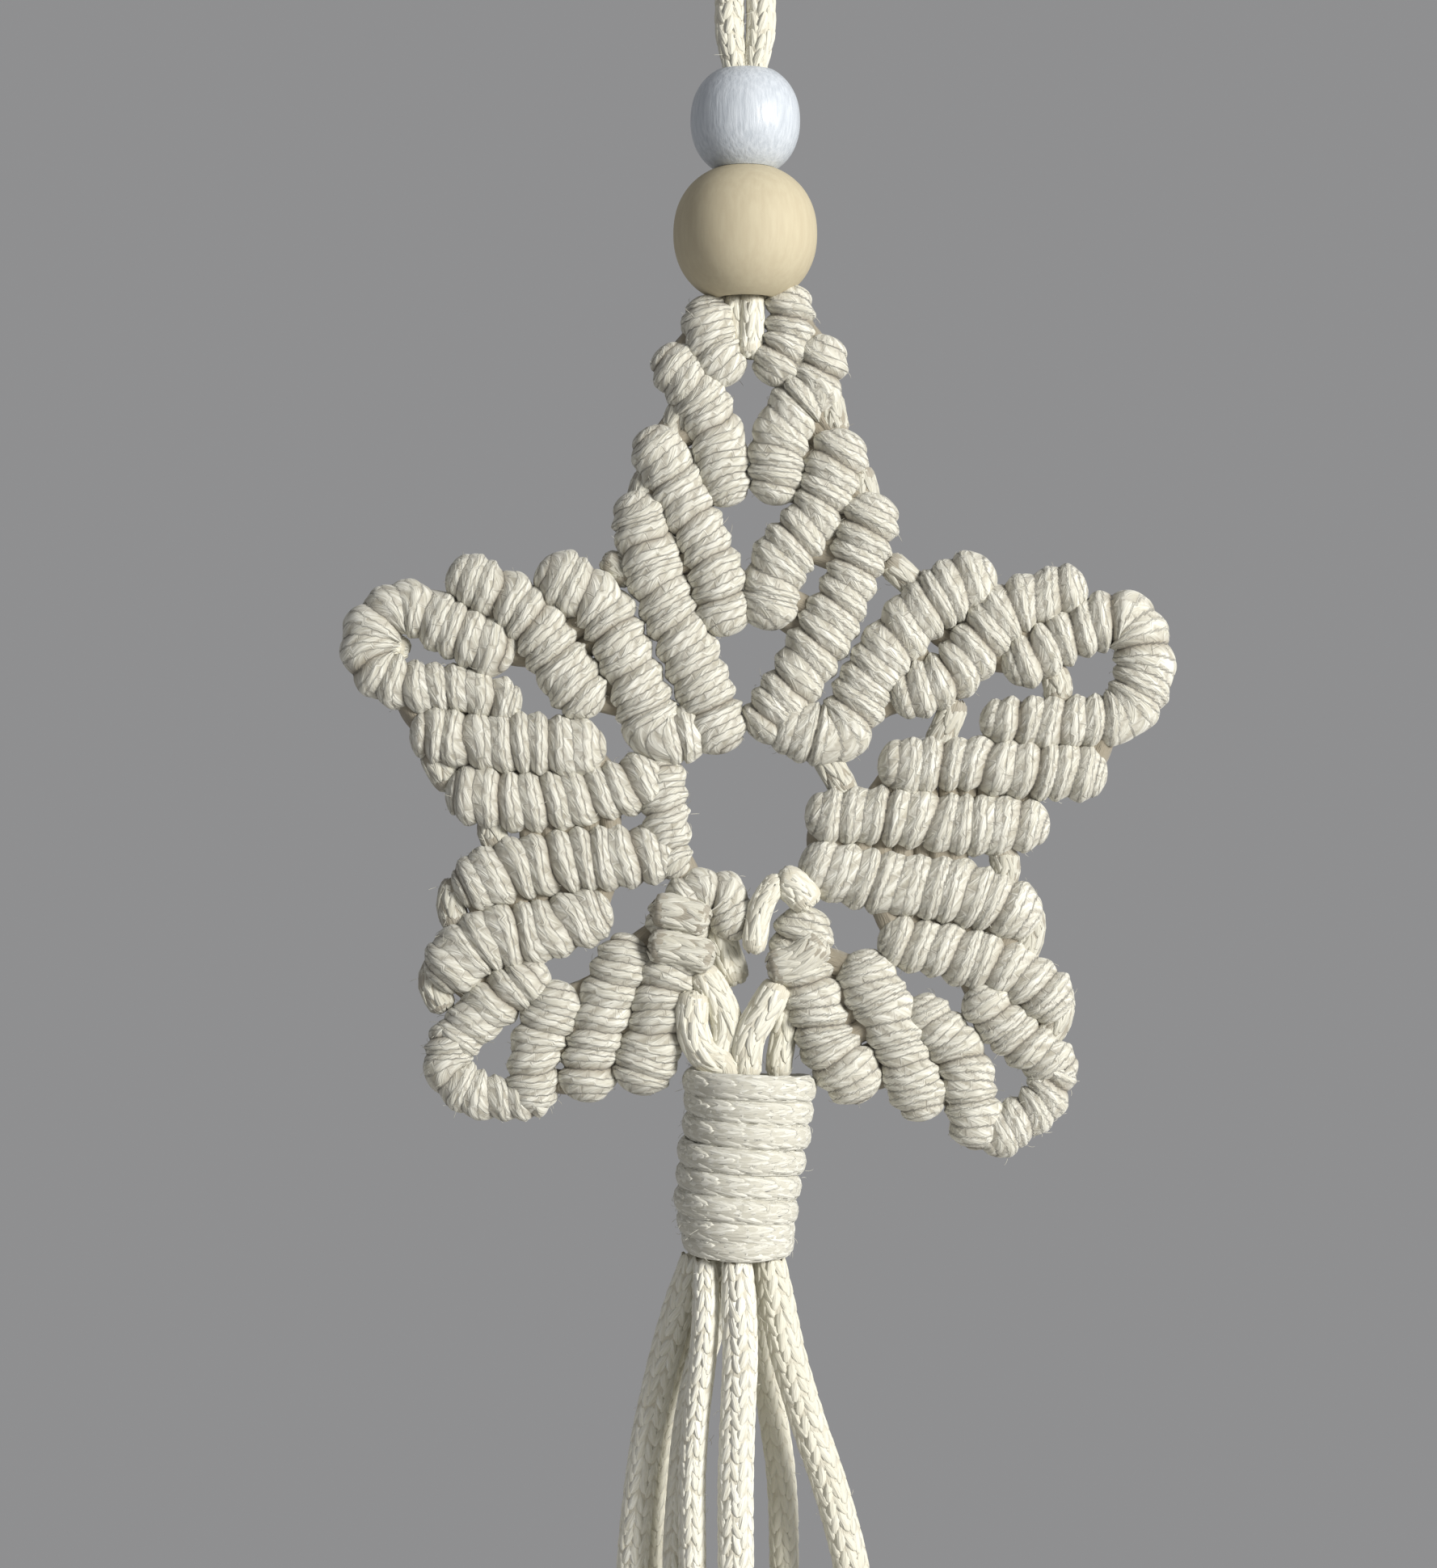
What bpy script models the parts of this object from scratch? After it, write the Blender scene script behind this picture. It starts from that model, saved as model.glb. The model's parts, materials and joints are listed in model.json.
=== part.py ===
"""Macrame star hanging: a looped cord, two wooden beads, a knotted star, a wrapped neck and a tassel.

Metres, +Z up, front towards -Y. The origin is the inner top of the loop, where a nail bears.
Everything hangs below it in a chain: loop, white bead, natural bead, star, wrap, tassel.
"""
import math

import bmesh
import bpy
from mathutils import Matrix, Vector

MM = 0.001

# Gap kept between pieces that touch on the real object
TOUCH = 0.0003

# Hanging loop
LOOP_CORD = 0.0031          # diameter of the loop's cord
LOOP_SQUEEZE = 0.60         # share of its diameter that it keeps inside the beads
LOOP_SWELL = 0.0046         # height over which it takes its full thickness above the beads
LOOP_DROP = 0.0361          # from the nail down to the top of the white bead
EYE_RADIUS = 0.0036         # inner radius of the loop over the nail
EYE_LENGTH = 0.0170         # height over which the two strands draw apart

# Beads
WHITE_BEAD = 0.0122         # diameter of the white bead
WHITE_LENGTH = 0.0105       # its length along the hole
NATURAL_BEAD = 0.0160       # diameter of the natural bead
NATURAL_LENGTH = 0.0141     # its length along the hole
BEAD_RIM = 0.0011           # width of the flat rim around both holes
BEAD_FULLNESS = 2.2         # power of the side's round; 2 is an ellipse, more is fuller
BORE_CLEARANCE = 0.0003     # room around the two strands in the holes

# Knotted star. Its drawing has 1022 units across the star, x to the right and y downwards.
STAR_WIDTH = 0.0920
DRAWING_WIDTH = 1022.0
DRAWING_CENTRE = 922.0      # the line of the loop and the beads
DRAWING_TOP = 371.0         # foot of the natural bead
DRAWING_NECK = 1321.0       # where the gathered cords go into the wrap
KNOT_PITCH = 58.0           # one double half hitch along a row, in drawing units
ROW_DEPTH = 0.84            # front to back thickness of a row as a share of its width
GROOVE = 0.86               # width between two knots as a share of a knot's width
ROW_END = 0.60              # width at a row's end as a share of a knot's width
END_REACH = 20.0            # how far a row runs past its last hitch, in drawing units
LINK_WIDTH = 30.0           # plain working cord between two rows, in drawing units

# Gathering wrap
WRAP_TURNS = 8
WRAP_TURN = 0.00253         # height of one turn
WRAP_TOP_RADIUS = 0.0076
WRAP_LOW_RADIUS = 0.0063
WRAP_GROOVE = 0.94          # radius between two turns as a share of the turn's radius
WRAP_LEAN = -0.0011         # how far the foot of the wrap stands to the side of its top

# Tassel
TASSEL_CORD = 0.0036        # diameter of a strand
TASSEL_DROP = 0.0800        # from the wrap down to the cut ends
TASSEL_LEAD = 0.0008        # straight stretch where a strand leaves the wrap

# Facets
ROW_SIDES = 7
LINK_SIDES = 5
BEAD_SIDES = 18
BEAD_STEPS = 8
WRAP_SIDES = 16
EYE_STEPS = 6
CURVE_STEPS = 16            # short straight runs between two chosen points of a smooth curve
CORD_RESOLUTION = 2
TASSEL_SPACING = 2.5        # diameters of the strand from one of its places to the next
CREASE_ANGLE = math.radians(50)

# Rows of knots: width, then the route of the row's axis, in drawing units
ROWS = {
    "top_left": [
        (60, [(876, 392), (880, 420), (893, 452)]),
        (64, [(834, 450), (866, 492), (888, 545), (897, 600)]),
        (66, [(812, 552), (850, 630), (878, 700), (894, 760)]),
        (68, [(790, 632), (815, 722), (855, 812), (890, 905)]),
    ],
    "top_right": [
        (58, [(976, 392), (974, 420), (962, 452)]),
        (64, [(1017, 444), (1004, 495), (974, 545), (957, 600)]),
        (68, [(1040, 556), (1010, 635), (968, 700), (954, 752)]),
        (68, [(1078, 635), (1046, 730), (985, 840), (950, 892)]),
    ],
    "left_upper": [
        (68, [(690, 712), (745, 752), (785, 838), (815, 905), (852, 908)]),
        (68, [(580, 714), (650, 757), (697, 825), (722, 862)]),
        (66, [(612, 803), (556, 771), (503, 748), (463, 775), (462, 824), (508, 851), (575, 853), (622, 868)]),
    ],
    "left_lower": [
        (70, [(578, 980), (640, 990), (720, 985), (800, 965)]),
        (70, [(534, 906), (600, 917), (660, 919), (724, 926)]),
    ],
    "right_upper": [
        (70, [(1205, 712), (1130, 765), (1075, 840), (1035, 905), (975, 900)]),
        (66, [(1318, 728), (1245, 755), (1180, 830), (1125, 858)]),
        (58, [(1265, 822), (1345, 780), (1398, 764), (1424, 820), (1395, 883), (1320, 893), (1238, 892)]),
    ],
    "right_lower": [
        (68, [(1272, 1018), (1190, 1019), (1100, 1008), (1022, 1009)]),
        (66, [(1343, 955), (1270, 951), (1190, 944), (1112, 948)]),
    ],
    "foot_left_outer": [
        (74, [(586, 1091), (640, 1073), (720, 1062), (812, 1057)]),
        (74, [(554, 1196), (600, 1163), (670, 1150), (732, 1130)]),
        (62, [(655, 1210), (610, 1240), (568, 1280)]),
        (54, [(556, 1288), (558, 1328), (600, 1355), (655, 1356)]),
    ],
    "foot_left_inner": [
        (70, [(836, 1128), (842, 1175), (820, 1222), (812, 1275), (792, 1326)]),
        (66, [(775, 1180), (752, 1235), (735, 1290), (725, 1335)]),
        (60, [(690, 1238), (665, 1290), (658, 1350)]),
    ],
    "foot_right_outer": [
        (74, [(1014, 1072), (1090, 1090), (1180, 1101), (1262, 1128)]),
        (68, [(1112, 1164), (1180, 1178), (1250, 1200), (1300, 1234)]),
        (60, [(1218, 1240), (1262, 1285), (1306, 1316)]),
        (54, [(1306, 1320), (1290, 1360), (1235, 1402)]),
    ],
    "foot_right_inner": [
        (70, [(994, 1146), (990, 1190), (1008, 1240), (1024, 1290), (1060, 1336)]),
        (66, [(1068, 1200), (1105, 1270), (1125, 1325), (1140, 1358)]),
        (62, [(1145, 1255), (1188, 1305), (1200, 1355), (1210, 1394)]),
    ],
    "centre": [
        (50, [(820, 958), (823, 1005), (831, 1060)]),
        (50, [(848, 1110), (872, 1101), (896, 1109), (906, 1136)]),
    ],
}

# Rows of two sides that share a working cord; a side's first row is its number 1
SHARED = [
    ("top_left_1", "top_right_1"), ("top_left_2", "top_right_2"), ("top_left_3", "top_right_3"),
    ("top_left_4", "top_right_4"), ("top_left_4", "left_upper_1"), ("top_right_4", "right_upper_1"),
    ("left_upper_3", "left_lower_2"), ("right_upper_3", "right_lower_2"), ("left_lower_1", "centre_1"),
    ("centre_1", "foot_left_outer_1"), ("foot_left_outer_1", "centre_2"), ("centre_2", "foot_left_inner_1"),
    ("left_lower_1", "foot_left_outer_1"), ("right_lower_1", "foot_right_outer_1"),
    ("foot_right_outer_1", "foot_right_inner_1"), ("foot_left_outer_4", "foot_left_inner_3"),
    ("foot_right_outer_4", "foot_right_inner_3"), ("left_upper_1", "left_lower_1"),
    ("right_upper_1", "right_lower_1"), ("right_upper_2", "right_lower_2"),
    ("foot_right_outer_2", "foot_right_inner_2"),
]

# Plain cords of the star: width, depth offset and route, in drawing units
PLAIN_CORDS = [
    (38, 0, [(920, 374), (923, 402), (926, 438)]),
    (34, 10, [(932, 1168), (939, 1122), (962, 1095)]),
    (46, 4, [(956, 1098), (978, 1100), (1000, 1130)]),
    (30, 0, [(985, 1118), (1000, 1100), (1015, 1085)]),
    (42, 8, [(458, 788), (484, 797), (508, 804)]),
    (40, -18, [(884, 1130), (898, 1178), (912, 1220)]),
]

# Cords gathered into the wrap: width, depth offset and route; each ends upright at the neck
GATHERED_CORDS = [
    (42, 6, [(860, 1195), (888, 1235), (900, 1270), (890, 1298)]),
    (40, 16, [(852, 1245), (858, 1275), (874, 1298), (906, 1306)]),
    (42, 16, [(970, 1205), (946, 1245), (926, 1278), (934, 1303)]),
    (36, -8, [(980, 1200), (970, 1245), (968, 1280), (962, 1303)]),
]

# Strands of the tassel: start in the wrap's foot, then places further down, in millimetres
# across, towards the back and down from the middle of the wrap's foot
STRANDS = [
    [(-4.6, 1.8, 0), (-6.8, 2.4, 7), (-8.6, 2.6, 14), (-10.2, 2.6, 22), (-11.5, 2.6, 34), (-12.2, 2.6, 55)],
    [(-1.4, 4.5, 0), (-5.6, 6.2, 9), (-8.1, 6.6, 17), (-9.3, 6.6, 25), (-9.7, 6.6, 34), (-9.9, 6.6, 55)],
    [(0.0, 0.6, 0), (-3.2, 1.2, 9), (-4.9, 1.0, 16), (-5.8, 0.8, 23), (-6.5, 0.8, 34), (-6.6, 0.8, 55)],
    [(-3.3, -1.9, 0), (-3.3, -3.3, 5), (-3.6, -3.3, 10), (-4.4, -3.3, 17), (-4.8, -3.3, 25), (-4.4, -3.3, 55)],
    [(0.2, -3.9, 0), (0.4, -4.9, 5), (0.5, -5.2, 10), (0.2, -5.3, 17), (0.0, -5.3, 25), (0.2, -5.2, 55)],
    [(3.2, 3.0, 0), (3.0, 3.6, 9), (4.1, 4.0, 17), (5.2, 4.0, 25), (5.5, 4.0, 34), (5.6, 4.0, 55)],
    [(3.9, -1.9, 0), (5.6, -2.4, 9), (7.9, -2.4, 17), (10.6, -2.4, 25), (12.9, -2.4, 34), (16.0, -2.4, 55)],
]

# Sizes worked out from the values above
STRAND_RADIUS = LOOP_CORD * LOOP_SQUEEZE / 2
STRAND_OFFSET = STRAND_RADIUS + TOUCH / 2
BORE_RADIUS = STRAND_OFFSET + STRAND_RADIUS + BORE_CLEARANCE
UNIT = STAR_WIDTH / DRAWING_WIDTH


WHITE_Z = -LOOP_DROP - WHITE_LENGTH / 2
NATURAL_Z = -LOOP_DROP - WHITE_LENGTH - TOUCH - NATURAL_LENGTH / 2
STAR_TOP_Z = NATURAL_Z - NATURAL_LENGTH / 2 - TOUCH
WRAP_TOP_Z = STAR_TOP_Z - (DRAWING_NECK - DRAWING_TOP) * UNIT
WRAP_LOW_Z = WRAP_TOP_Z - WRAP_TURNS * WRAP_TURN
STRAND_TOP_Z = WRAP_LOW_Z - TOUCH


def clear_scene():
    """Removes what the scene holds."""
    for item in list(bpy.data.objects):
        bpy.data.objects.remove(item)


def make_material(name, colour, roughness):
    """A plain Principled material."""
    material = bpy.data.materials.new(name)
    material.use_nodes = True
    shader = material.node_tree.nodes["Principled BSDF"]
    shader.inputs["Base Color"].default_value = (*colour, 1.0)
    shader.inputs["Roughness"].default_value = roughness
    shader.inputs["Metallic"].default_value = 0.0
    return material


def new_object(name, data, material):
    """Adds an object that carries one material."""
    item = bpy.data.objects.new(name, data)
    data.materials.append(material)
    bpy.context.scene.collection.objects.link(item)
    return item


def finish_mesh(bm, name):
    """Turns a bmesh into a smooth shaded mesh whose faces point outwards."""
    bmesh.ops.recalc_face_normals(bm, faces=bm.faces)
    mesh = bpy.data.meshes.new(name)
    bm.to_mesh(mesh)
    bm.free()
    mesh.shade_smooth()
    mesh.set_sharp_from_angle(angle=CREASE_ANGLE)
    return mesh


def smooth_places(points, spacing, parts=1):
    """Evenly spaced places on a smooth curve through hand-chosen points; each spacing is cut in parts."""
    chosen = [Vector(point) for point in points]
    slopes = []
    for index, point in enumerate(chosen):
        before = chosen[max(index - 1, 0)]
        after = chosen[min(index + 1, len(chosen) - 1)]
        reach = (point - before).length + (after - point).length
        slopes.append((after - before) / reach)
    fine = [chosen[0]]
    for start, end, leave, arrive in zip(chosen, chosen[1:], slopes, slopes[1:]):
        span = (end - start).length
        for step in range(1, CURVE_STEPS + 1):
            t = step / CURVE_STEPS
            fine.append(
                start * (2 * t**3 - 3 * t**2 + 1)
                + leave * span * (t**3 - 2 * t**2 + t)
                + end * (3 * t**2 - 2 * t**3)
                + arrive * span * (t**3 - t**2)
            )
    lengths = [0.0]
    for start, end in zip(fine, fine[1:]):
        lengths.append(lengths[-1] + (end - start).length)
    count = max(1, round(lengths[-1] / spacing)) * parts
    places = []
    index = 0
    for step in range(count + 1):
        wanted = lengths[-1] * step / count
        while index < len(lengths) - 2 and lengths[index + 1] < wanted:
            index += 1
        share = (wanted - lengths[index]) / (lengths[index + 1] - lengths[index])
        places.append(fine[index].lerp(fine[index + 1], share))
    return places


def place_in_star(x, y, depth=0.0):
    """A place of the star's drawing in the world; depth counts towards the front."""
    return Vector(((x - DRAWING_CENTRE) * UNIT, -depth * UNIT, STAR_TOP_Z - (y - DRAWING_TOP) * UNIT))


def extend_route(points, reach):
    """Lengthens a flat route straight on at both ends."""
    first, second = Vector(points[0]), Vector(points[1])
    last, before = Vector(points[-1]), Vector(points[-2])
    start = first + (first - second).normalized() * reach
    end = last + (last - before).normalized() * reach
    return [start, *[Vector(point) for point in points], end]


def add_tube(bm, places, radii, depth_share, sides, end_direction=None):
    """Lofts one closed cord of rings along places; radii lie across the star, depth goes with them."""
    loops = []
    for index, (place, radius) in enumerate(zip(places, radii)):
        ahead = places[min(index + 1, len(places) - 1)]
        behind = places[max(index - 1, 0)]
        along = (ahead - behind).normalized()
        if end_direction is not None and index == len(places) - 1:
            along = end_direction
        across = along.cross(Vector((0, 1, 0))).normalized()
        front = across.cross(along)
        turn = Matrix((across, front, along)).transposed().to_4x4()
        shape = Matrix.Diagonal((radius, radius * depth_share, 1, 1))
        ring = bmesh.ops.create_circle(
            bm, segments=sides, radius=1.0, matrix=Matrix.Translation(place) @ turn @ shape
        )
        loops.append(list({edge for vert in ring["verts"] for edge in vert.link_edges}))
    for lower, upper in zip(loops, loops[1:]):
        bmesh.ops.bridge_loops(bm, edges=lower + upper)
    for loop in (loops[0], loops[-1]):
        bmesh.ops.contextual_create(bm, geom=loop)


def add_row(bm, width, points):
    """One row of double half hitches: a bulge for each knot, a groove between two."""
    route = [place_in_star(point.x, point.y) for point in extend_route(points, END_REACH)]
    places = smooth_places(route, KNOT_PITCH * UNIT, parts=2)
    full = width * UNIT / 2
    radii = [full if index % 2 else full * GROOVE for index in range(len(places))]
    radii[0] = full * ROW_END
    radii[-1] = full * ROW_END
    add_tube(bm, places, radii, ROW_DEPTH, ROW_SIDES)
    return places


def add_plain_cord(bm, width, depth, points, last=None):
    """One plain cord of the star, of even thickness."""
    route = [place_in_star(x, y, depth) for x, y in points]
    end_direction = None
    if last is not None:
        route.append(last)
        end_direction = Vector((0, 0, -1))
    places = smooth_places(route, width * UNIT)
    add_tube(bm, places, [width * UNIT / 2] * len(places), 1.0, ROW_SIDES, end_direction)


def add_link(bm, row, neighbour):
    """A working cord that passes from one row to the next where they lie closest."""
    pairs = [((a - b).length, a, b) for a in row[1:-1] for b in neighbour[1:-1]]
    _, start, end = min(pairs, key=lambda pair: pair[0])
    add_tube(bm, [start, end], [LINK_WIDTH * UNIT / 2] * 2, 1.0, LINK_SIDES)


def fill_cavities(mesh):
    """Removes the inner skins of pockets that crossing cords close off, which makes them solid."""
    bm = bmesh.new()
    bm.from_mesh(mesh)
    waiting = set(bm.faces)
    while waiting:
        shell = [waiting.pop()]
        for face in shell:
            for edge in face.edges:
                for neighbour in edge.link_faces:
                    if neighbour in waiting:
                        waiting.remove(neighbour)
                        shell.append(neighbour)
        volume = 0.0
        for face in shell:
            corners = [vert.co for vert in face.verts]
            for second, third in zip(corners[1:], corners[2:]):
                volume += corners[0].dot(second.cross(third)) / 6
        if volume < 0:
            bmesh.ops.delete(bm, geom=shell, context="FACES")
    bm.to_mesh(mesh)
    bm.free()


def union_of(name, parts):
    """Joins overlapping closed meshes into one body."""
    base = bpy.data.objects.new(name, parts[0])
    group = bpy.data.collections.new(name + "_parts")
    bpy.context.scene.collection.objects.link(base)
    bpy.context.scene.collection.children.link(group)
    for index, mesh in enumerate(parts[1:]):
        group.objects.link(bpy.data.objects.new(f"{name}_part_{index}", mesh))
    join = base.modifiers.new("join", "BOOLEAN")
    join.operation = "UNION"
    join.solver = "EXACT"
    join.operand_type = "COLLECTION"
    join.collection = group
    view = bpy.context.evaluated_depsgraph_get()
    mesh = bpy.data.meshes.new_from_object(base.evaluated_get(view))
    for item in [base, *group.objects]:
        bpy.data.objects.remove(item)
    bpy.data.collections.remove(group)
    return mesh


def make_star(material):
    """The knotted star with its plain cords and the cords gathered towards the wrap."""
    parts = []

    def add_part(build, *values, **named):
        bm = bmesh.new()
        result = build(bm, *values, **named)
        parts.append(finish_mesh(bm, "star_part"))
        return result

    rows = {}
    for side, entries in ROWS.items():
        before = None
        for number, (width, points) in enumerate(entries, start=1):
            row = add_part(add_row, width, points)
            rows[f"{side}_{number}"] = row
            if before is not None:
                add_part(add_link, before, row)
            before = row
    for name, neighbour in SHARED:
        add_part(add_link, rows[name], rows[neighbour])
    for width, depth, points in PLAIN_CORDS:
        add_part(add_plain_cord, width, depth, points)
    for width, depth, points in GATHERED_CORDS:
        x = points[-1][0]
        neck = place_in_star(x, DRAWING_NECK, depth) + Vector((0, 0, TOUCH))
        add_part(add_plain_cord, width, depth, points, last=neck)
    mesh = union_of("star", parts)
    fill_cavities(mesh)
    mesh.name = "knotted_star"
    new_object("knotted_star", mesh, material)


def make_bead(name, diameter, length, centre_z, material):
    """A turned bead with a full round side, a straight hole and flat rims."""
    radius, half = diameter / 2, length / 2
    rim = BORE_RADIUS + BEAD_RIM
    crown = half / (1 - (rim / radius) ** BEAD_FULLNESS) ** (1 / BEAD_FULLNESS)
    outline = [(BORE_RADIUS, half)]
    for step in range(BEAD_STEPS + 1):
        z = half * math.cos(math.pi * step / BEAD_STEPS)
        side = radius * (1 - abs(z / crown) ** BEAD_FULLNESS) ** (1 / BEAD_FULLNESS)
        outline.append((side, z))
    outline.append((BORE_RADIUS, -half))
    bm = bmesh.new()
    verts = [bm.verts.new((x, 0, centre_z + z)) for x, z in outline]
    edges = [bm.edges.new(pair) for pair in zip(verts, verts[1:] + verts[:1])]
    bmesh.ops.spin(
        bm, geom=verts + edges, cent=(0, 0, 0), axis=(0, 0, 1), angle=math.tau, steps=BEAD_SIDES,
        use_merge=True, use_duplicate=False,
    )
    new_object(name, finish_mesh(bm, name), material)


def make_wrap(material):
    """The neck: turns of cord stacked in a barrel that narrows and leans downwards."""
    bm = bmesh.new()
    rings = WRAP_TURNS * 2
    loops = []
    for index in range(rings + 1):
        share = index / rings
        radius = WRAP_TOP_RADIUS + (WRAP_LOW_RADIUS - WRAP_TOP_RADIUS) * share**2
        if index % 2 == 0:
            radius *= WRAP_GROOVE
        place = Vector((WRAP_LEAN * share, 0, WRAP_TOP_Z + (WRAP_LOW_Z - WRAP_TOP_Z) * share))
        ring = bmesh.ops.create_circle(bm, segments=WRAP_SIDES, radius=radius, matrix=Matrix.Translation(place))
        loops.append(list({edge for vert in ring["verts"] for edge in vert.link_edges}))
    for upper, lower in zip(loops, loops[1:]):
        bmesh.ops.bridge_loops(bm, edges=upper + lower)
    for loop in (loops[0], loops[-1]):
        bmesh.ops.contextual_create(bm, geom=loop)
    new_object("gathering_wrap", finish_mesh(bm, "gathering_wrap"), material)


def make_cord(name, places, diameter, material, shares=None):
    """A free cord: a poly curve with a round bevel and filled ends."""
    curve = bpy.data.curves.new(name, "CURVE")
    curve.dimensions = "3D"
    curve.bevel_depth = diameter / 2
    curve.bevel_resolution = CORD_RESOLUTION
    curve.use_fill_caps = True
    curve.twist_mode = "MINIMUM"
    spline = curve.splines.new("POLY")
    spline.points.add(len(places) - 1)
    spline.use_smooth = True
    for index, place in enumerate(places):
        spline.points[index].co = (*place, 1.0)
        if shares is not None:
            spline.points[index].radius = shares[index]
    new_object(name, curve, material)


def loop_side():
    """Places of one strand from the star's top up to the widest part of the eye."""
    beside = (LOOP_CORD + TOUCH) / 2
    eye = EYE_RADIUS + LOOP_CORD / 2
    bead_top = -LOOP_DROP
    return [
        (STRAND_OFFSET, STAR_TOP_Z + TOUCH),
        (STRAND_OFFSET, (STAR_TOP_Z + bead_top) / 2),
        (STRAND_OFFSET, bead_top),
        (beside, bead_top + LOOP_SWELL),
        (beside, (bead_top - EYE_LENGTH) / 2),
        (beside, -EYE_LENGTH),
        ((beside + eye) / 2, -(EYE_RADIUS + EYE_LENGTH) / 2),
        (eye, -EYE_RADIUS),
    ]


def make_loop(material):
    """The doubled cord through both beads, opened into an eye over the nail."""
    side = loop_side()
    eye = EYE_RADIUS + LOOP_CORD / 2
    arc = []
    for step in range(1, EYE_STEPS):
        angle = math.pi * step / EYE_STEPS
        arc.append((eye * math.cos(angle), -EYE_RADIUS + eye * math.sin(angle)))
    route = side + arc + [(-x, z) for x, z in reversed(side)]
    places = smooth_places([(x, 0.0, z) for x, z in route], LOOP_CORD)
    shares = []
    for place in places:
        rise = min(max((place.z + LOOP_DROP) / LOOP_SWELL, 0.0), 1.0)
        shares.append(LOOP_SQUEEZE + (1 - LOOP_SQUEEZE) * rise)
    make_cord("hanging_loop", places, LOOP_CORD, material, shares)


def make_tassel(material):
    """The free strands below the wrap, cut off level."""
    exit_z = STRAND_TOP_Z - TASSEL_LEAD
    for number, route in enumerate(STRANDS, start=1):
        points = [(WRAP_LEAN + x * MM, y * MM, exit_z - down * MM) for x, y, down in route]
        x, y, _ = points[-1]
        points.append((x, y, STRAND_TOP_Z - TASSEL_DROP))
        x, y, _ = points[0]
        places = [Vector((x, y, STRAND_TOP_Z)), *smooth_places(points, TASSEL_CORD * TASSEL_SPACING)]
        make_cord(f"tassel_strand_{number}", places, TASSEL_CORD, material)


def main():
    clear_scene()
    cotton = make_material("cotton_cord", (0.80, 0.78, 0.72), 0.95)
    star_cotton = make_material("star_cotton", (0.80, 0.78, 0.72), 0.95)
    wrap_cotton = make_material("wrap_cotton", (0.80, 0.78, 0.72), 0.95)
    tassel_cotton = make_material("tassel_cotton", (0.80, 0.77, 0.70), 0.95)
    white_paint = make_material("white_paint", (0.83, 0.85, 0.88), 0.45)
    natural_wood = make_material("natural_wood", (0.78, 0.68, 0.50), 0.55)
    make_loop(cotton)
    make_bead("white_bead", WHITE_BEAD, WHITE_LENGTH, WHITE_Z, white_paint)
    make_bead("natural_bead", NATURAL_BEAD, NATURAL_LENGTH, NATURAL_Z, natural_wood)
    make_star(star_cotton)
    make_wrap(wrap_cotton)
    make_tassel(tassel_cotton)


main()
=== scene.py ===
# %% [markdown]
# # A macrame star hanging, dressed in cotton
#
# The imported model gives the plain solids: a loop, two beads, a knotted star, a wrapped neck and
# a tassel. This lesson lays the real surfaces over them. Almost everything here is cord, so most
# of the work is one idea used again and again: a flat grid of faces is rolled up round a line.

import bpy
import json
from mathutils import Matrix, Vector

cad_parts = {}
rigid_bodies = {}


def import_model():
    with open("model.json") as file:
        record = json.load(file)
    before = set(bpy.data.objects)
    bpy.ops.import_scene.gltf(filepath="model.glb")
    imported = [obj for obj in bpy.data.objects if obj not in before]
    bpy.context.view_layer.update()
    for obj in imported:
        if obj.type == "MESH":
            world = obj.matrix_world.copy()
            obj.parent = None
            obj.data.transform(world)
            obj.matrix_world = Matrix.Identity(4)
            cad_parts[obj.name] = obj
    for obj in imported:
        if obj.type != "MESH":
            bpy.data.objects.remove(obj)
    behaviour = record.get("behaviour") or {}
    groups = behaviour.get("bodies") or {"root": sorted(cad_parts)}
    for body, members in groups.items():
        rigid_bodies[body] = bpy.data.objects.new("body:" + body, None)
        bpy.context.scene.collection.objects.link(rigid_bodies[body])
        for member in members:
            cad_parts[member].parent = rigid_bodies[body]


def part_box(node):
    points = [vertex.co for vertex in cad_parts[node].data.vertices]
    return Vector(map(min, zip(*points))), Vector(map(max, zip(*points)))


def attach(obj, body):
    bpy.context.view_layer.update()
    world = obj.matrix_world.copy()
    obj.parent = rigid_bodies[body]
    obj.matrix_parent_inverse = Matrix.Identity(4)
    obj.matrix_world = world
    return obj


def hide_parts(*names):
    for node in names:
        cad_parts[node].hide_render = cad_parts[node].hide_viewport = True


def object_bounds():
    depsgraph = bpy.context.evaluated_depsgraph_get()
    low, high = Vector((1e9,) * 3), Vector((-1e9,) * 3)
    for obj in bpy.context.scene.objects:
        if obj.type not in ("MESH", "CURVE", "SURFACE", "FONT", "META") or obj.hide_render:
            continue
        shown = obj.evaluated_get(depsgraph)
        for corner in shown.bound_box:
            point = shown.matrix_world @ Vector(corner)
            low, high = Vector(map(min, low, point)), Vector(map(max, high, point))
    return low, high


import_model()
cad_low, cad_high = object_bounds()
print("solid box in mm:", [round(v * 1000, 1) for v in (cad_high - cad_low)])

# %% Tools
import json
import math

import bmesh
import bpy
import numpy as np
from mathutils import Matrix, Vector

scene = bpy.context.scene
MM = 0.001
TURN = 2 * math.pi
REARWARD = (0.0, 1.0, 0.0)

# %% [markdown]
# ## The camera
#
# The star is seen straight from the front, close enough for a little perspective. A long lens at
# arm's length gives that. The view cuts the loop at the top and the tassel at the bottom.

# %% Camera
VIEW_DISTANCE = 355 * MM
VIEW_HALF_HEIGHT = 87.2 * MM      # half of what the view takes in at the star's middle plane
VIEW_CENTRE = Vector((-2.97 * MM, 0, -115.1 * MM))
SENSOR = 36

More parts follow.
